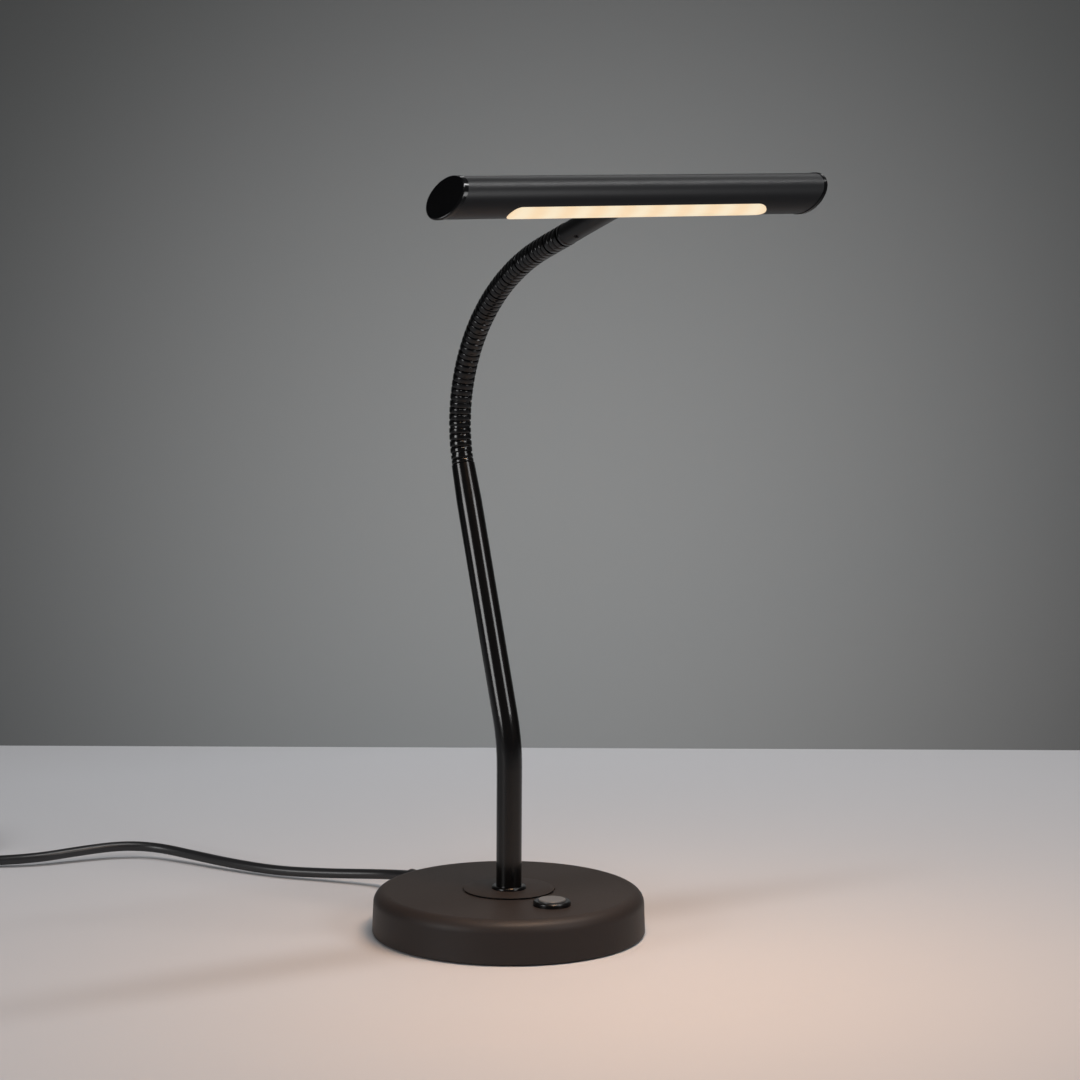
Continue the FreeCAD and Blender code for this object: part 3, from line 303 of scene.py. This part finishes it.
# --- operators ----------------------------------------------------------------------------
class LAMP_OT_foot(bpy.types.Operator):
    """Finishes of the foot's cover, disc, weight, plate and pad"""
    bl_idname = "lamp.foot"
    bl_label = "Foot"

    def execute(self, context):
        colours = context.scene.lamp_finish
        # Powder coat, sprayed and baked: a fine even grain that breaks up reflections.
        coat = surface("powder_coat_fine_texture", colours.foot, 0.48, 0.7 * MM, 0.018 * MM, uneven=0.05,
                       Specular_IOR_Level=0.18)
        paint(coat, "base_shell")
        self.hub(coat)
        # Cast iron, as it left the sand: coarse, dark and dull.
        iron = surface("cast_iron_raw", linear("#46464a"), 0.7, 1.2 * MM, 0.12 * MM, Metallic=0.7)
        paint(iron, "base_weight")
        # Zinc plate on steel: bright, faintly blotched.
        zinc = surface("zinc_plated_steel", linear("#b9bbbc"), 0.32, 0.5 * MM, 0.004 * MM, patch=6 * MM,
                       Metallic=1.0)
        paint(zinc, "base_plate", "plate_screws", "stem_nipple", "nipple_nut", "nipple_washer", "stem_insert",
              "driver_screws", "clamp_screws", "saddle_washer", "head_nut", "board_screws")
        # Foam rubber, cut from sheet: quite matt, open pores.
        rubber = surface("foam_rubber", linear("#232323"), 0.9, 0.8 * MM, 0.1 * MM)
        paint(rubber, "foot_pad")
        return {"FINISHED"}

    @staticmethod
    def hub(coat):
        """Disc round the stem, a little proud of the cover: its undercut edge draws a fine dark arc, deepened
        with painted shade.
        """
        low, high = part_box("hub_disc")
        clearance = 0.1 * MM
        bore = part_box("stem_nipple")[1].x + clearance
        top = high.z + HUB_STEP
        foot = high.x - HUB_STEP
        near = 0.01 * MM
        bevel = 0.1 * MM
        mesh = turned_ring(((bore, low.z), (bore, top), (high.x, top), (foot, high.z), (foot, low.z)), 144)
        rim = [edge for edge in mesh.edges if all(
            vert.co.z > top - near and vert.co.xy.length > high.x - near for vert in edge.verts)]
        bmesh.ops.bevel(mesh, geom=rim, offset=bevel, offset_type="OFFSET", affect="EDGES", segments=2,
                        profile=0.5, material=-1)
        disc = finish_piece("hub_disc_dressed", mesh, coat, body="base")
        # Painted shade: the faces of the disc's undercut edge are coloured matt black so that the dark arc
        # under its rim reads deeper; it shows only at the edge.
        painted_shade_edge = surface("painted_shade_edge_black", linear("#060606"), 0.85, 0.6 * MM, 0.01 * MM,
                         Specular_IOR_Level=0.1)
        disc.data.materials.append(painted_shade_edge)
        # The painted shade goes on the undercut faces, below the rounded rim.
        for face in disc.data.polygons:
            if face.center.xy.length > foot and face.center.z < top - bevel - 2 * near:
                face.material_index = 1
        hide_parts("hub_disc")


class LAMP_OT_switch(bpy.types.Operator):
    """Finishes of the push switch"""
    bl_idname = "lamp.switch"
    bl_label = "Push switch"

    def execute(self, context):
        # Polished moulded plastic: a clear reflection with the least waviness.
        gloss = surface("moulded_plastic_polished", linear("#0d0d0e"), 0.2, 3 * MM, 0.001 * MM, spread=0.03,
                        Specular_IOR_Level=0.35)
        paint(gloss, "switch_bezel")
        # The same plastic from a satin mould: it holds a soft grey sheen.
        satin = surface("moulded_plastic_satin", linear("#565759"), 0.3, 0.5 * MM, 0.004 * MM)
        paint(satin, "switch_button")
        # Matt moulded plastic, inside and behind: an even dark grey.
        plain = surface("moulded_plastic_matt", linear("#242426"), 0.5, 0.5 * MM, 0.01 * MM)
        paint(plain, "switch_ring_nut", "switch_body", "cord_gland", "cord_clamp")
        # Drawn spring wire: bright, streaked along the drawing.
        wire = surface("spring_wire_bright", linear("#c4c4c2"), 0.25, 0.3 * MM, 0.002 * MM, Metallic=1.0)
        self.spring(wire)
        return {"FINISHED"}

    @staticmethod
    def spring(wire):
        """The return spring, wound as a piece that rides on the foot."""
        low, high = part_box("switch_spring")
        middle = (low + high) / 2
        sides = 10
        steps_per_turn = 32
        steps = int(SPRING_TURNS * steps_per_turn)
        rise = (high.z - low.z - 2 * SPRING_WIRE) / steps
        start = Matrix.Translation((high.x - SPRING_WIRE, middle.y, low.z + SPRING_WIRE))
        mesh = bmesh.new()
        section = bmesh.ops.create_circle(mesh, segments=sides, radius=SPRING_WIRE,
                                          matrix=start @ Matrix.Rotation(math.pi / 2, 4, "X"))
        edges = list({edge for vert in section["verts"] for edge in vert.link_edges})
        bmesh.ops.holes_fill(mesh, edges=edges, sides=sides)
        made = bmesh.ops.spin(mesh, geom=edges, cent=middle, axis=(0, 0, 1), dvec=(0, 0, rise),
                              angle=SPRING_TURNS * 2 * math.pi, steps=steps, use_merge=False)["geom_last"]
        last = [item for item in made if isinstance(item, bmesh.types.BMEdge)]
        bmesh.ops.holes_fill(mesh, edges=last, sides=sides)
        spring = finish_piece("switch_spring_wound", mesh, wire, body="base")
        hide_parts("switch_spring")
        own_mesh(spring)


def lacquer_material(context):
    """Gloss lacquer over steel: black with a slight orange peel."""
    return surface("gloss_lacquer_black", context.scene.lamp_finish.lacquer, 0.16, 2.5 * MM, 0.0015 * MM,
                   uneven=0.05, spread=0.03, Specular_IOR_Level=0.35)


def satin_lacquer_material(context):
    """The same lacquer with a matting agent, on the arm: soft, dim highlights."""
    return surface("satin_lacquer_black", context.scene.lamp_finish.lacquer, 0.36, 1.2 * MM, 0.002 * MM,
                   uneven=0.05, spread=0.04, Specular_IOR_Level=0.3)


class LAMP_OT_stem(bpy.types.Operator):
    """Finishes of the stem and its collar"""
    bl_idname = "lamp.stem"
    bl_label = "Stem"

    def execute(self, context):
        paint(lacquer_material(context), "stem_tube", "stem_collar")
        return {"FINISHED"}


class LAMP_OT_neck(bpy.types.Operator):
    """Ribbed sleeves of the bending neck, each with a cup below and a ball on top"""
    bl_idname = "lamp.neck"
    bl_label = "Neck"

    # One rib, from groove to groove: place along it and height over the groove.
    rib = ((0.0, 0.0), (0.04, 0.15), (0.09, 0.6), (0.15, 0.84), (0.24, 0.95), (0.38, 1.0), (0.62, 1.0),
           (0.76, 0.95), (0.85, 0.84), (0.91, 0.6), (0.96, 0.15))
    # Rings of a cup and of the balls, in millimetres over the joint's middle.
    cup_heights = (4.5, 4.0, 3.2, 2.2, 1.2, 0.7)
    ball_heights = (-0.7, 0.2, 1.2, 2.2, 2.9, 3.4)
    top_ball_heights = (-2.7, -1.8, -0.9, 0, 0.9, 1.8, 2.7)
    lip_drop = 0.1 * MM      # how far a sleeve's lips lie under the ribs' crests
    segments = 48

    def place(self, k, along):
        """Centre and turn about X of the neck's line, at a distance from the middle of link k."""
        start, ball, end = self.bends[k if along >= 0 else k - 1]
        t = along / NECK_PITCH + (along < 0)
        heading = (ball - start) * (1 - t) + (end - ball) * t
        centre = start * (1 - t) ** 2 + ball * 2 * t * (1 - t) + end * t ** 2
        return centre, math.atan2(-heading.y, heading.z)

    @staticmethod
    def dome(centre, turn, radius, heights):
        """Rings of a ball or its cup."""
        way = Vector((0, -math.sin(turn), math.cos(turn)))
        for height in heights:
            yield centre + way * height * MM, turn, math.sqrt(radius ** 2 - (height * MM) ** 2)

    def ribs(self, k, low, high, count, neck):
        """Rings of a sleeve's ribs, between its lips."""
        for j in range(count):
            for part, height in self.rib:
                along = low + (high - low) * (j + part) / count
                if low + JOINT_GAP < along < high - JOINT_GAP:
                    yield *self.place(k, along), neck.crest - neck.depth * (1 - height)

    def sleeve(self, k, low, high, neck):
        """One rigid sleeve: a cup for the ball below, its ribs, and its own ball on top."""
        count = max(2, round(neck.ribs * (high - low) / NECK_PITCH))
        lip = neck.crest - self.lip_drop
        rings = []
        if k:
            rings += self.dome(*self.place(k, low), CUP_RADIUS, self.cup_heights)
            rings.append((*self.place(k, low + JOINT_GAP), lip))
        else:
            rings.append((*self.place(k, low), lip - neck.depth))
        rings += self.ribs(k, low, high, count, neck)
        centre, turn = self.place(k, high - JOINT_GAP)
        rings.append((centre, turn, lip))
        if k == len(NECK_BALLS) - 1:
            rings += self.dome(NECK_BALLS[k], turn, TOP_BALL_RADIUS, self.top_ball_heights)
        else:
            rings += self.dome(*self.place(k, high), BALL_RADIUS, self.ball_heights)
        return skin_rings(rings, self.segments)

    def rim(self, neck):
        """The topmost rib, a band round the ferrule's mouth."""
        low, high = TOP_JOINT + JOINT_GAP, RIBS_PAST_BALL
        crest = neck.crest
        bore = crest - 0.2 * MM
        step = 0.15 * MM
        mesh = turned_ring(((bore, low), (crest - step, low), (crest, low + step), (crest, high - 3 * step),
                            (crest - step, high - step), (bore, high)), self.segments)
        turn = self.place(len(NECK_BALLS) - 1, NECK_PITCH / 2)[1]
        mesh.transform(Matrix.Translation(NECK_BALLS[-1]) @ Matrix.Rotation(turn, 4, "X"))
        return mesh

    def execute(self, context):
        neck = context.scene.lamp_neck
        balls = NECK_BALLS
        half = NECK_PITCH / 2
        stem_way = Vector((0, math.sin(STEM_LEAN), math.cos(STEM_LEAN)))
        middles = [(a + b) / 2 for a, b in zip(balls, balls[1:])]
        lows = [balls[0] - stem_way * half] + middles
        highs = middles + [balls[-1] + HEAD_WAY * half]
        self.bends = list(zip(lows, balls, highs))
        material = lacquer_material(context)
        for k in range(len(balls)):
            low = -half if k else half - NECK_STUB
            high = half + (TOP_JOINT if k == len(balls) - 1 else 0)
            sleeve = finish_piece(f"neck_sleeve_{k:02d}", self.sleeve(k, low, high, neck), material,
                                  body=NECK_BODIES[k])
            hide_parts(NECK_BODIES[k] if k else "neck_anchor")
        finish_piece("neck_sleeve_rim", self.rim(neck), material, body="head")
        return {"FINISHED"}


class LAMP_OT_head(bpy.types.Operator):
    """Finishes of the light head and the arm that carries it"""
    bl_idname = "lamp.head"
    bl_label = "Light head"

    def execute(self, context):
        colours = context.scene.lamp_finish
        # Satin paint, sprayed on the tube: soft wide highlights along it.
        satin = surface("satin_paint_black", colours.head, 0.38, 1.2 * MM, 0.003 * MM, uneven=0.04,
                        spread=0.03, Specular_IOR_Level=0.25)
        paint(satin, "head_tube")
        paint(satin_lacquer_material(context), "neck_ferrule", "head_socket")
        paint(lacquer_material(context), "end_cap_left", "end_cap_right")
        # Blackened steel, oiled: dark with a dull metal sheen.
        blackened = surface("blackened_steel", linear("#2a2a2c"), 0.4, 0.4 * MM, 0.003 * MM, Metallic=1.0)
        paint(blackened, "ferrule_grub_screw")
        # Brushed aluminium bar: fine lines along the head.
        bar = surface("brushed_aluminium", linear("#c8cacc"), 0.35, 0.25 * MM, 0.004 * MM,
                      stretch=(0.03, 1, 1), Metallic=1.0)
        paint(bar, "led_carrier")
        # White solder mask over laminate: smooth and half glossy.
        board = surface("solder_mask_white", linear("#e6e6e2"), 0.4, 0.8 * MM, 0.004 * MM)
        paint(board, "led_board")
        # Silicone filled with phosphor, cast over each LED: dull yellow.
        phosphor = surface("phosphor_resin", linear("#e8dc9a"), 0.5, 0.6 * MM, 0.004 * MM)
        paint(phosphor, "led_chips")
        paint(self.opal(colours.light), "diffuser")
        return {"FINISHED"}

    @staticmethod
    def opal(glow):
        """Opal acrylic, moulded milky: an even glow, a little brighter and whiter over each LED."""
        material, tree, shader = new_material("opal_acrylic_lit", Base_Color=(*linear("#8c8780"), 1),
                                              Roughness=0.35, Emission_Strength=0.8)
        place = add(tree, "ShaderNodeTexCoord").outputs["Object"]
        axes = add(tree, "ShaderNodeSeparateXYZ", {"Vector": place})
        low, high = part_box("led_chips")
        pitch = (high.x - low.x) / (LED_COUNT - 1)
        phase = add(tree, "ShaderNodeMath", {0: axes.outputs["X"], 1: 2 * math.pi / pitch},
                    operation="MULTIPLY")
        wave = add(tree, "ShaderNodeMath", {0: phase.outputs[0]}, operation="COSINE")
        spot = add(tree, "ShaderNodeMapRange", {"Value": wave.outputs[0], "From Min": -1.0, "From Max": 1.0})
        dim = (glow[0], glow[1] * 0.94, glow[2] * 0.84, 1)
        bright = (*(min(1.0, c * 1.02 + 0.04) for c in glow), 1)
        tint = add(tree, "ShaderNodeMix", {0: spot.outputs["Result"], MIX_A: dim, MIX_B: bright},
                   data_type="RGBA")
        tree.links.new(tint.outputs[MIX_RESULT], shader.inputs["Emission Color"])
        return material


class LAMP_OT_electrics(bpy.types.Operator):
    """Finishes of the driver, wires and terminals inside"""
    bl_idname = "lamp.electrics"
    bl_label = "Electrics"

    def execute(self, context):
        # Green solder mask over glass laminate: half glossy.
        laminate = surface("solder_mask_green", linear("#1f6b3c"), 0.4, 1.5 * MM, 0.01 * MM)
        paint(laminate, "driver_board")
        # Moulded resin of the components: smooth and dark.
        resin = surface("component_resin", linear("#2a2a2e"), 0.35, 0.8 * MM, 0.004 * MM)
        paint(resin, "driver_parts")
        # Moulded nylon, undyed: ivory, slightly waxy.
        nylon = surface("natural_nylon", linear("#dcd8c8"), 0.42, 0.8 * MM, 0.006 * MM)
        paint(nylon, "terminal_block")
        # Extruded insulation of the single wires: smooth, dark grey.
        wire = surface("wire_insulation", linear("#3b3b40"), 0.4, 0.8 * MM, 0.004 * MM)
        paint(wire, "base_wires", "stem_lead", "head_lead")
        return {"FINISHED"}


def sheath_material():
    """Flexible PVC, extruded: satin black with faint drawing marks."""
    return surface("flexible_pvc_sheath", linear("#1d1d1f"), 0.34, 0.9 * MM, 0.006 * MM, uneven=0.05,
                   spread=0.05)


class LAMP_OT_lead(bpy.types.Operator):
    """Mains lead with its coil, tie and plug"""
    bl_idname = "lamp.lead"
    bl_label = "Mains lead"

    def coil_points(self, diameter, per_turn):
        """Turns wound inwards on the table, then outwards on top of them, clockwise from above."""
        low = diameter / 2
        high = low + diameter * math.sqrt(3) / 2
        centre = Vector((*COIL_CENTRE, 0)) * MM
        arrival = Vector(LEAD_ROUTE[-1]) * MM - centre
        bearing = math.atan2(arrival.y, arrival.x)
        radii = COIL_RADII
        stretches = (
            (COIL_TURNS["lower"], radii["outside"], radii["inside"], low, low),
            (COIL_TURNS["climb"], radii["inside"], radii["upper inside"], low, high),
            (COIL_TURNS["upper"], radii["upper inside"], radii["upper outside"], high, high),
            (COIL_TURNS["last"], radii["upper outside"], radii["upper outside"], high, high),
        )
        turned = 0.0
        for turns, r_start, r_end, z_start, z_end in stretches:
            steps = round(turns * per_turn)
            for k in range(steps):
                share = k / steps
                angle = bearing - 2 * math.pi * (turned + turns * share)
                radius = (r_start + (r_end - r_start) * share) * MM
                height = z_start + (z_end - z_start) * share + self.lift_over_tie(angle)
                if turned or k:     # the coil's first point is the route's last
                    yield centre + Vector((radius * math.cos(angle), radius * math.sin(angle), height))
            turned += turns

    @staticmethod
    def lift_over_tie(angle):
        """The turns rise over the band where it passes under them."""
        away = abs(math.remainder(angle - TIE_BEARING, 2 * math.pi))
        reach = math.radians(50)
        return TIE_LIFT * (0.5 + 0.5 * math.cos(math.pi * min(away / reach, 1.0)))

    def make_lead(self, lead):
        """The whole lead as one smooth line, from the foot through the coil to the plug."""
        points = [Vector(p) * MM for p in LEAD_ROUTE]
        points += list(self.coil_points(lead.diameter, lead.points))
        points += [Vector(p) * MM for p in TAIL_ROUTE]
        curve = bpy.data.curves.new("mains_lead", "CURVE")
        curve.dimensions = "3D"
        curve.bevel_depth = lead.diameter / 2
        curve.bevel_resolution = 5
        curve.resolution_u = 5
        curve.use_fill_caps = True
        spline = curve.splines.new("NURBS")
        spline.points.add(len(points) - 1)
        for point, place in zip(spline.points, points):
            point.co = (*place, 1)
        spline.order_u = 3
        spline.use_endpoint_u = True
        cord = new_object("mains_lead", curve)
        paint(sheath_material(), cord)
        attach(cord, "base")
        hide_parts("cord", "cord_coil", "cord_tail")
        return cord

    @staticmethod
    def make_tie(lead):
        """Band round the coil's section, with rounded corners."""
        wall = 0.8 * MM
        gap = 0.05 * MM
        width = 12 * MM
        corner = 1.6 * MM
        low = COIL_RADII["inside"] * MM - lead.diameter / 2 - gap - wall / 2
        high = COIL_RADII["outside"] * MM + lead.diameter / 2 + gap + wall / 2
        top = lead.diameter * (1 + math.sqrt(3) / 2) + TIE_LIFT + gap + wall / 2
        waist = lead.diameter * 0.775 + TIE_LIFT     # where the band leaves the outer turn's side
        step = lead.diameter / 2
        outline = [(low, wall / 2), (high, wall / 2), (high, waist), (high - step, top), (low + step, top),
                   (low, waist)]
        mesh = bmesh.new()
        verts = [mesh.verts.new((r, -width / 2, z)) for r, z in outline]
        edges = [mesh.edges.new(pair) for pair in zip(verts, verts[1:] + verts[:1])]
        made = bmesh.ops.extrude_edge_only(mesh, edges=edges)["geom"]
        moved = [item for item in made if isinstance(item, bmesh.types.BMVert)]
        bmesh.ops.translate(mesh, verts=moved, vec=(0, width, 0))
        corners = [edge for edge in mesh.edges
                   if abs((edge.verts[0].co - edge.verts[1].co).y) > width / 2]
        bmesh.ops.bevel(mesh, geom=corners, offset=corner, offset_type="OFFSET", affect="EDGES", segments=5,
                        profile=0.5, material=-1)
        bmesh.ops.recalc_face_normals(mesh, faces=mesh.faces)
        bmesh.ops.solidify(mesh, geom=list(mesh.faces), thickness=wall)
        place = Matrix.Translation(Vector((*COIL_CENTRE, 0)) * MM) @ Matrix.Rotation(TIE_BEARING, 4, "Z")
        bmesh.ops.transform(mesh, matrix=place, verts=mesh.verts)
        # Woven hook-and-loop band: dull, with a short pile.
        band = surface("woven_band", linear("#2b2b2d"), 0.85, 0.6 * MM, 0.08 * MM)
        tie = finish_piece("coil_tie", mesh, band, body="base")
        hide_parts("cord_tie")
        return tie

    def execute(self, context):
        lead = context.scene.lamp_lead
        cord = self.make_lead(lead)
        tie = self.make_tie(lead)
        paint(sheath_material(), "cord_inner")
        # Plug moulded on the lead in the same PVC, from a spark-eroded mould.
        moulded = surface("moulded_pvc_plug", linear("#222224"), 0.45, 0.6 * MM, 0.02 * MM)
        paint(moulded, "plug_body")
        # Nickel plate on brass: bright, slightly warm.
        nickel = surface("nickel_plated_brass", linear("#d5d0c6"), 0.18, 0.6 * MM, 0.002 * MM, Metallic=1.0)
        paint(nickel, "plug_pins")
        return {"FINISHED"}


class LAMP_OT_studio(bpy.types.Operator):
    """Table, wall, lights and camera"""
    bl_idname = "lamp.studio"
    bl_label = "Studio"

    wall_distance = 0.522        # behind the foot, as the camera looks
    stage_size = 12.0
    pool_middle = (0.03, 0.13)   # of the light on the wall: to the right and up
    pool_reach = (0.02, 0.61)    # where it starts to fall off, and where it ends
    lit_reach = (0.7, 2.4)       # where the lamp's light on the table fades, and where it is gone
    strip_way = Vector((0.0, -0.27, 0.96)).normalized()
    strip_distance = 1.3         # from the head
    strip_shift = Vector((0.3, 0, 0))
    # Soft lights: name, place and aim (right, away, up), width, height, power.
    soft_lights = (
        ("left_softbox", (-0.95, -0.72, 0.41), (0, 0, 0.22), 0.46, 0.38, 5.0),
        ("right_softbox", (0.89, -0.73, 0.74), (0, 0, 0.22), 0.38, 0.36, 3.8),
        ("back_strip", (0.18, 0.44, 0.82), (0.06, -0.09, 0.4), 0.6, 0.1, 0.45),
    )

    def execute(self, context):
        studio = context.scene.lamp_studio
        self.turned = Matrix.Rotation(-studio.turn, 4, "Z")
        self.table(studio)
        self.wall(studio)
        self.world(context)
        self.lights()
        self.camera(context, studio)
        context.scene.view_settings.view_transform = "Standard"
        return {"FINISHED"}

    def plane(self, name, place, material):
        """Large square of the stage."""
        mesh = bmesh.new()
        bmesh.ops.create_grid(mesh, x_segments=1, y_segments=1, size=self.stage_size / 2, matrix=place)
        mesh_object(name, mesh, material)

    def table(self, studio):
        """Smooth painted board, pale and dull, with painted shade: darker towards the front, a little paler
        towards the wall.
        """
        material, tree, shader = new_material("painted_board", Roughness=0.6,
                                              Emission_Color=(*studio.table, 1))
        place = add(tree, "ShaderNodeTexCoord").outputs["Object"]
        slope = self.turned.to_3x3() @ Vector((-0.4, 1, 0))      # the way it grows paler
        depth = add(tree, "ShaderNodeVectorMath", {0: place, 1: slope}, operation="DOT_PRODUCT")
        share = add(tree, "ShaderNodeMapRange",
                    {"Value": depth.outputs["Value"], "From Min": -0.7, "From Max": self.wall_distance})
        # Painted shade and light: the table's colour drops to 0.6 towards the front and rises to 1.3 towards
        # the wall.
        front = (*(c * 0.6 for c in studio.table), 1)
        back = (*(c * 1.3 for c in studio.table), 1)
        tint = add(tree, "ShaderNodeMix", {0: share.outputs["Result"], MIX_A: front, MIX_B: back},
                   data_type="RGBA")
        tree.links.new(tint.outputs[MIX_RESULT], shader.inputs["Base Color"])
        # Far from the lamp, where its lights don't reach, the table glows faintly in its own colour, seen
        # only by camera, glossy and transmission rays, standing in for light so that it stays pale as a
        # backdrop.
        reach = add(tree, "ShaderNodeVectorMath", {0: place}, operation="LENGTH")
        near, gone = self.lit_reach
        far = add(tree, "ShaderNodeMapRange",
                  {"Value": reach.outputs["Value"], "From Min": near, "From Max": gone, "To Max": 0.3})
        path = add(tree, "ShaderNodeLightPath").outputs
        seen = path["Is Camera Ray"]
        for ray in ("Is Glossy Ray", "Is Transmission Ray"):
            seen = add(tree, "ShaderNodeMath", {0: seen, 1: path[ray]}, operation="MAXIMUM").outputs[0]
        glow = add(tree, "ShaderNodeMath", {0: far.outputs["Result"], 1: seen}, operation="MULTIPLY")
        tree.links.new(glow.outputs[0], shader.inputs["Emission Strength"])
        self.plane("table", Matrix.Identity(4), material)

    def wall(self, studio):
        """Grey wall with a soft pool of light, seen from its front only."""
        material, tree, shader = new_material("studio_wall", Roughness=0.9, Specular_IOR_Level=0.1)
        place = add(tree, "ShaderNodeTexCoord").outputs["Object"]
        right, up = self.pool_middle
        middle = self.turned.to_3x3() @ Vector((right, self.wall_distance, up))
        centred = add(tree, "ShaderNodeMapping", {"Vector": place, "Location": -middle})
        length = add(tree, "ShaderNodeVectorMath", {0: centred.outputs["Vector"]}, operation="LENGTH")
        inner, outer = self.pool_reach
        fall = add(tree, "ShaderNodeMapRange",
                   {"Value": length.outputs["Value"], "From Min": inner, "From Max": outer},
                   interpolation_type="SMOOTHSTEP")
        shade = (*(c * 0.2 for c in studio.wall), 1)
        tint = add(tree, "ShaderNodeMix", {0: fall.outputs["Result"], MIX_A: (*studio.wall, 1), MIX_B: shade},
                   data_type="RGBA")
        tree.links.new(tint.outputs[MIX_RESULT], shader.inputs["Base Color"])
        see_through = add(tree, "ShaderNodeBsdfTransparent")
        back = add(tree, "ShaderNodeNewGeometry").outputs["Backfacing"]
        mix = add(tree, "ShaderNodeMixShader", {0: back, 1: shader.outputs[0], 2: see_through.outputs[0]})
        output = next(node for node in tree.nodes if node.type == "OUTPUT_MATERIAL")
        tree.links.new(mix.outputs[0], output.inputs["Surface"])
        behind = Matrix.Translation((0, self.wall_distance, 0))
        self.plane("wall", self.turned @ behind @ Matrix.Rotation(math.pi / 2, 4, "X"), material)

    @staticmethod
    def world(context):
        """Dim even light from all sides."""
        world = context.scene.world or bpy.data.worlds.new("studio")
        context.scene.world = world
        world.use_nodes = True
        tree = world.node_tree
        tree.nodes.clear()
        sky = add(tree, "ShaderNodeBackground", {"Strength": 0.1, "Color": (0.8, 0.8, 0.82, 1)})
        add(tree, "ShaderNodeOutputWorld", {"Surface": sky.outputs[0]})

    def lights(self):
        """Soft lights round the lamp, a strip over its head, and the diffuser's own light."""
        for name, place, aim, width, height, power in self.soft_lights:
            self.put_light(self.new_light(name, width, height, power), self.turned @ Vector(place),
                           self.turned @ Vector(aim), "Y")
        # The strip light lies along the head, over its front.
        strip = self.new_light("top_strip", 0.12, 1.6, 17.5)
        middle = HEAD_CENTRE + self.strip_shift
        self.put_light(strip, middle + self.strip_way * self.strip_distance, middle, "X")
        # The diffuser's own light on the table, from just outside it.
        low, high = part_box("diffuser")
        lit = self.new_light("diffuser_light", high.x - low.x, 10 * MM, 1.5)
        lit.color = (1.0, 0.57, 0.3)
        under = Vector((0, -HEAD_WAY.z, HEAD_WAY.y))
        glow = Matrix.Rotation(-SLOT_TURN, 3, "X") @ under
        start = HEAD_CENTRE + glow * DIFFUSER_FACE
        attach(self.put_light(lit, start, start + glow, "Y"), "head")

    @staticmethod
    def new_light(name, width, height, power):
        """Rectangular light of a width and height in metres and a power in watts."""
        light = bpy.data.lights.new(name, "AREA")
        light.shape = "RECTANGLE"
        light.size = width
        light.size_y = height
        light.energy = power
        return light

    @staticmethod
    def put_light(light, place, aim, side):
        """Puts a light at a place, facing another; side is its own axis that stays nearest to upright."""
        obj = new_object(light.name, light)
        facing = (aim - place).normalized()
        along = Vector((1, 0, 0)) if side == "X" else Vector((0, 0, 1))
        y_axis = (along - facing * along.dot(facing)).normalized()
        turn = Matrix((y_axis.cross(-facing), y_axis, -facing)).transposed().to_4x4()
        obj.matrix_world = Matrix.Translation(place) @ turn
        return obj

    def camera(self, context, studio):
        """Camera at a distance and height from the foot, turned by its yaw, pitch and roll."""
        data = bpy.data.cameras.new("camera")
        data.lens = studio.lens
        data.sensor_width = 36      # millimetres, as the lens
        data.clip_start, data.clip_end = 0.05, 50
        right = self.turned.to_3x3() @ Vector((1, 0, 0))
        away = self.turned.to_3x3() @ Vector((0, 1, 0))
        level = right * math.sin(studio.yaw) + away * math.cos(studio.yaw)
        forward = level * math.cos(studio.pitch) - Vector((0, 0, math.sin(studio.pitch)))
        side = forward.cross(Vector((0, 0, 1))).normalized()
        up = side.cross(forward)
        x_axis = side * math.cos(studio.roll) + up * math.sin(studio.roll)
        y_axis = up * math.cos(studio.roll) - side * math.sin(studio.roll)
        turn = Matrix((x_axis, y_axis, -forward)).transposed().to_4x4()
        place = Matrix.Translation(-away * studio.distance + Vector((0, 0, studio.height)))
        camera = new_object("camera", data)
        camera.matrix_world = place @ turn
        context.scene.camera = camera


OPERATORS = (LAMP_OT_foot, LAMP_OT_switch, LAMP_OT_stem, LAMP_OT_neck, LAMP_OT_head, LAMP_OT_electrics,
             LAMP_OT_lead, LAMP_OT_studio)
SETTINGS = (("lamp_finish", LampFinish), ("lamp_neck", LampNeck), ("lamp_lead", LampLead),
            ("lamp_studio", LampStudio))


class LAMP_PT_panel(bpy.types.Panel):
    """Sizes, colours and steps of the piano lamp"""
    bl_idname = "LAMP_PT_panel"
    bl_label = "Piano lamp"
    bl_space_type = "VIEW_3D"
    bl_region_type = "UI"
    bl_category = "Piano lamp"

    def draw(self, context):
        for name, group in SETTINGS:
            box = self.layout.box()
            box.label(text=group.__doc__)
            values = getattr(context.scene, name)
            for setting in group.__annotations__:
                box.prop(values, setting)
        for operator in OPERATORS:
            self.layout.operator(operator.bl_idname)


def register():
    for name, group in SETTINGS:
        bpy.utils.register_class(group)
        setattr(bpy.types.Scene, name, PointerProperty(type=group))
    for item in (*OPERATORS, LAMP_PT_panel):
        bpy.utils.register_class(item)


def unregister():
    for item in reversed((*OPERATORS, LAMP_PT_panel)):
        bpy.utils.unregister_class(item)
    for name, group in reversed(SETTINGS):
        delattr(bpy.types.Scene, name)
        bpy.utils.unregister_class(group)


def main():
    register()
    for operator in OPERATORS:
        group, name = operator.bl_idname.split(".")
        getattr(getattr(bpy.ops, group), name)()


if __name__ == "__main__":
    main()
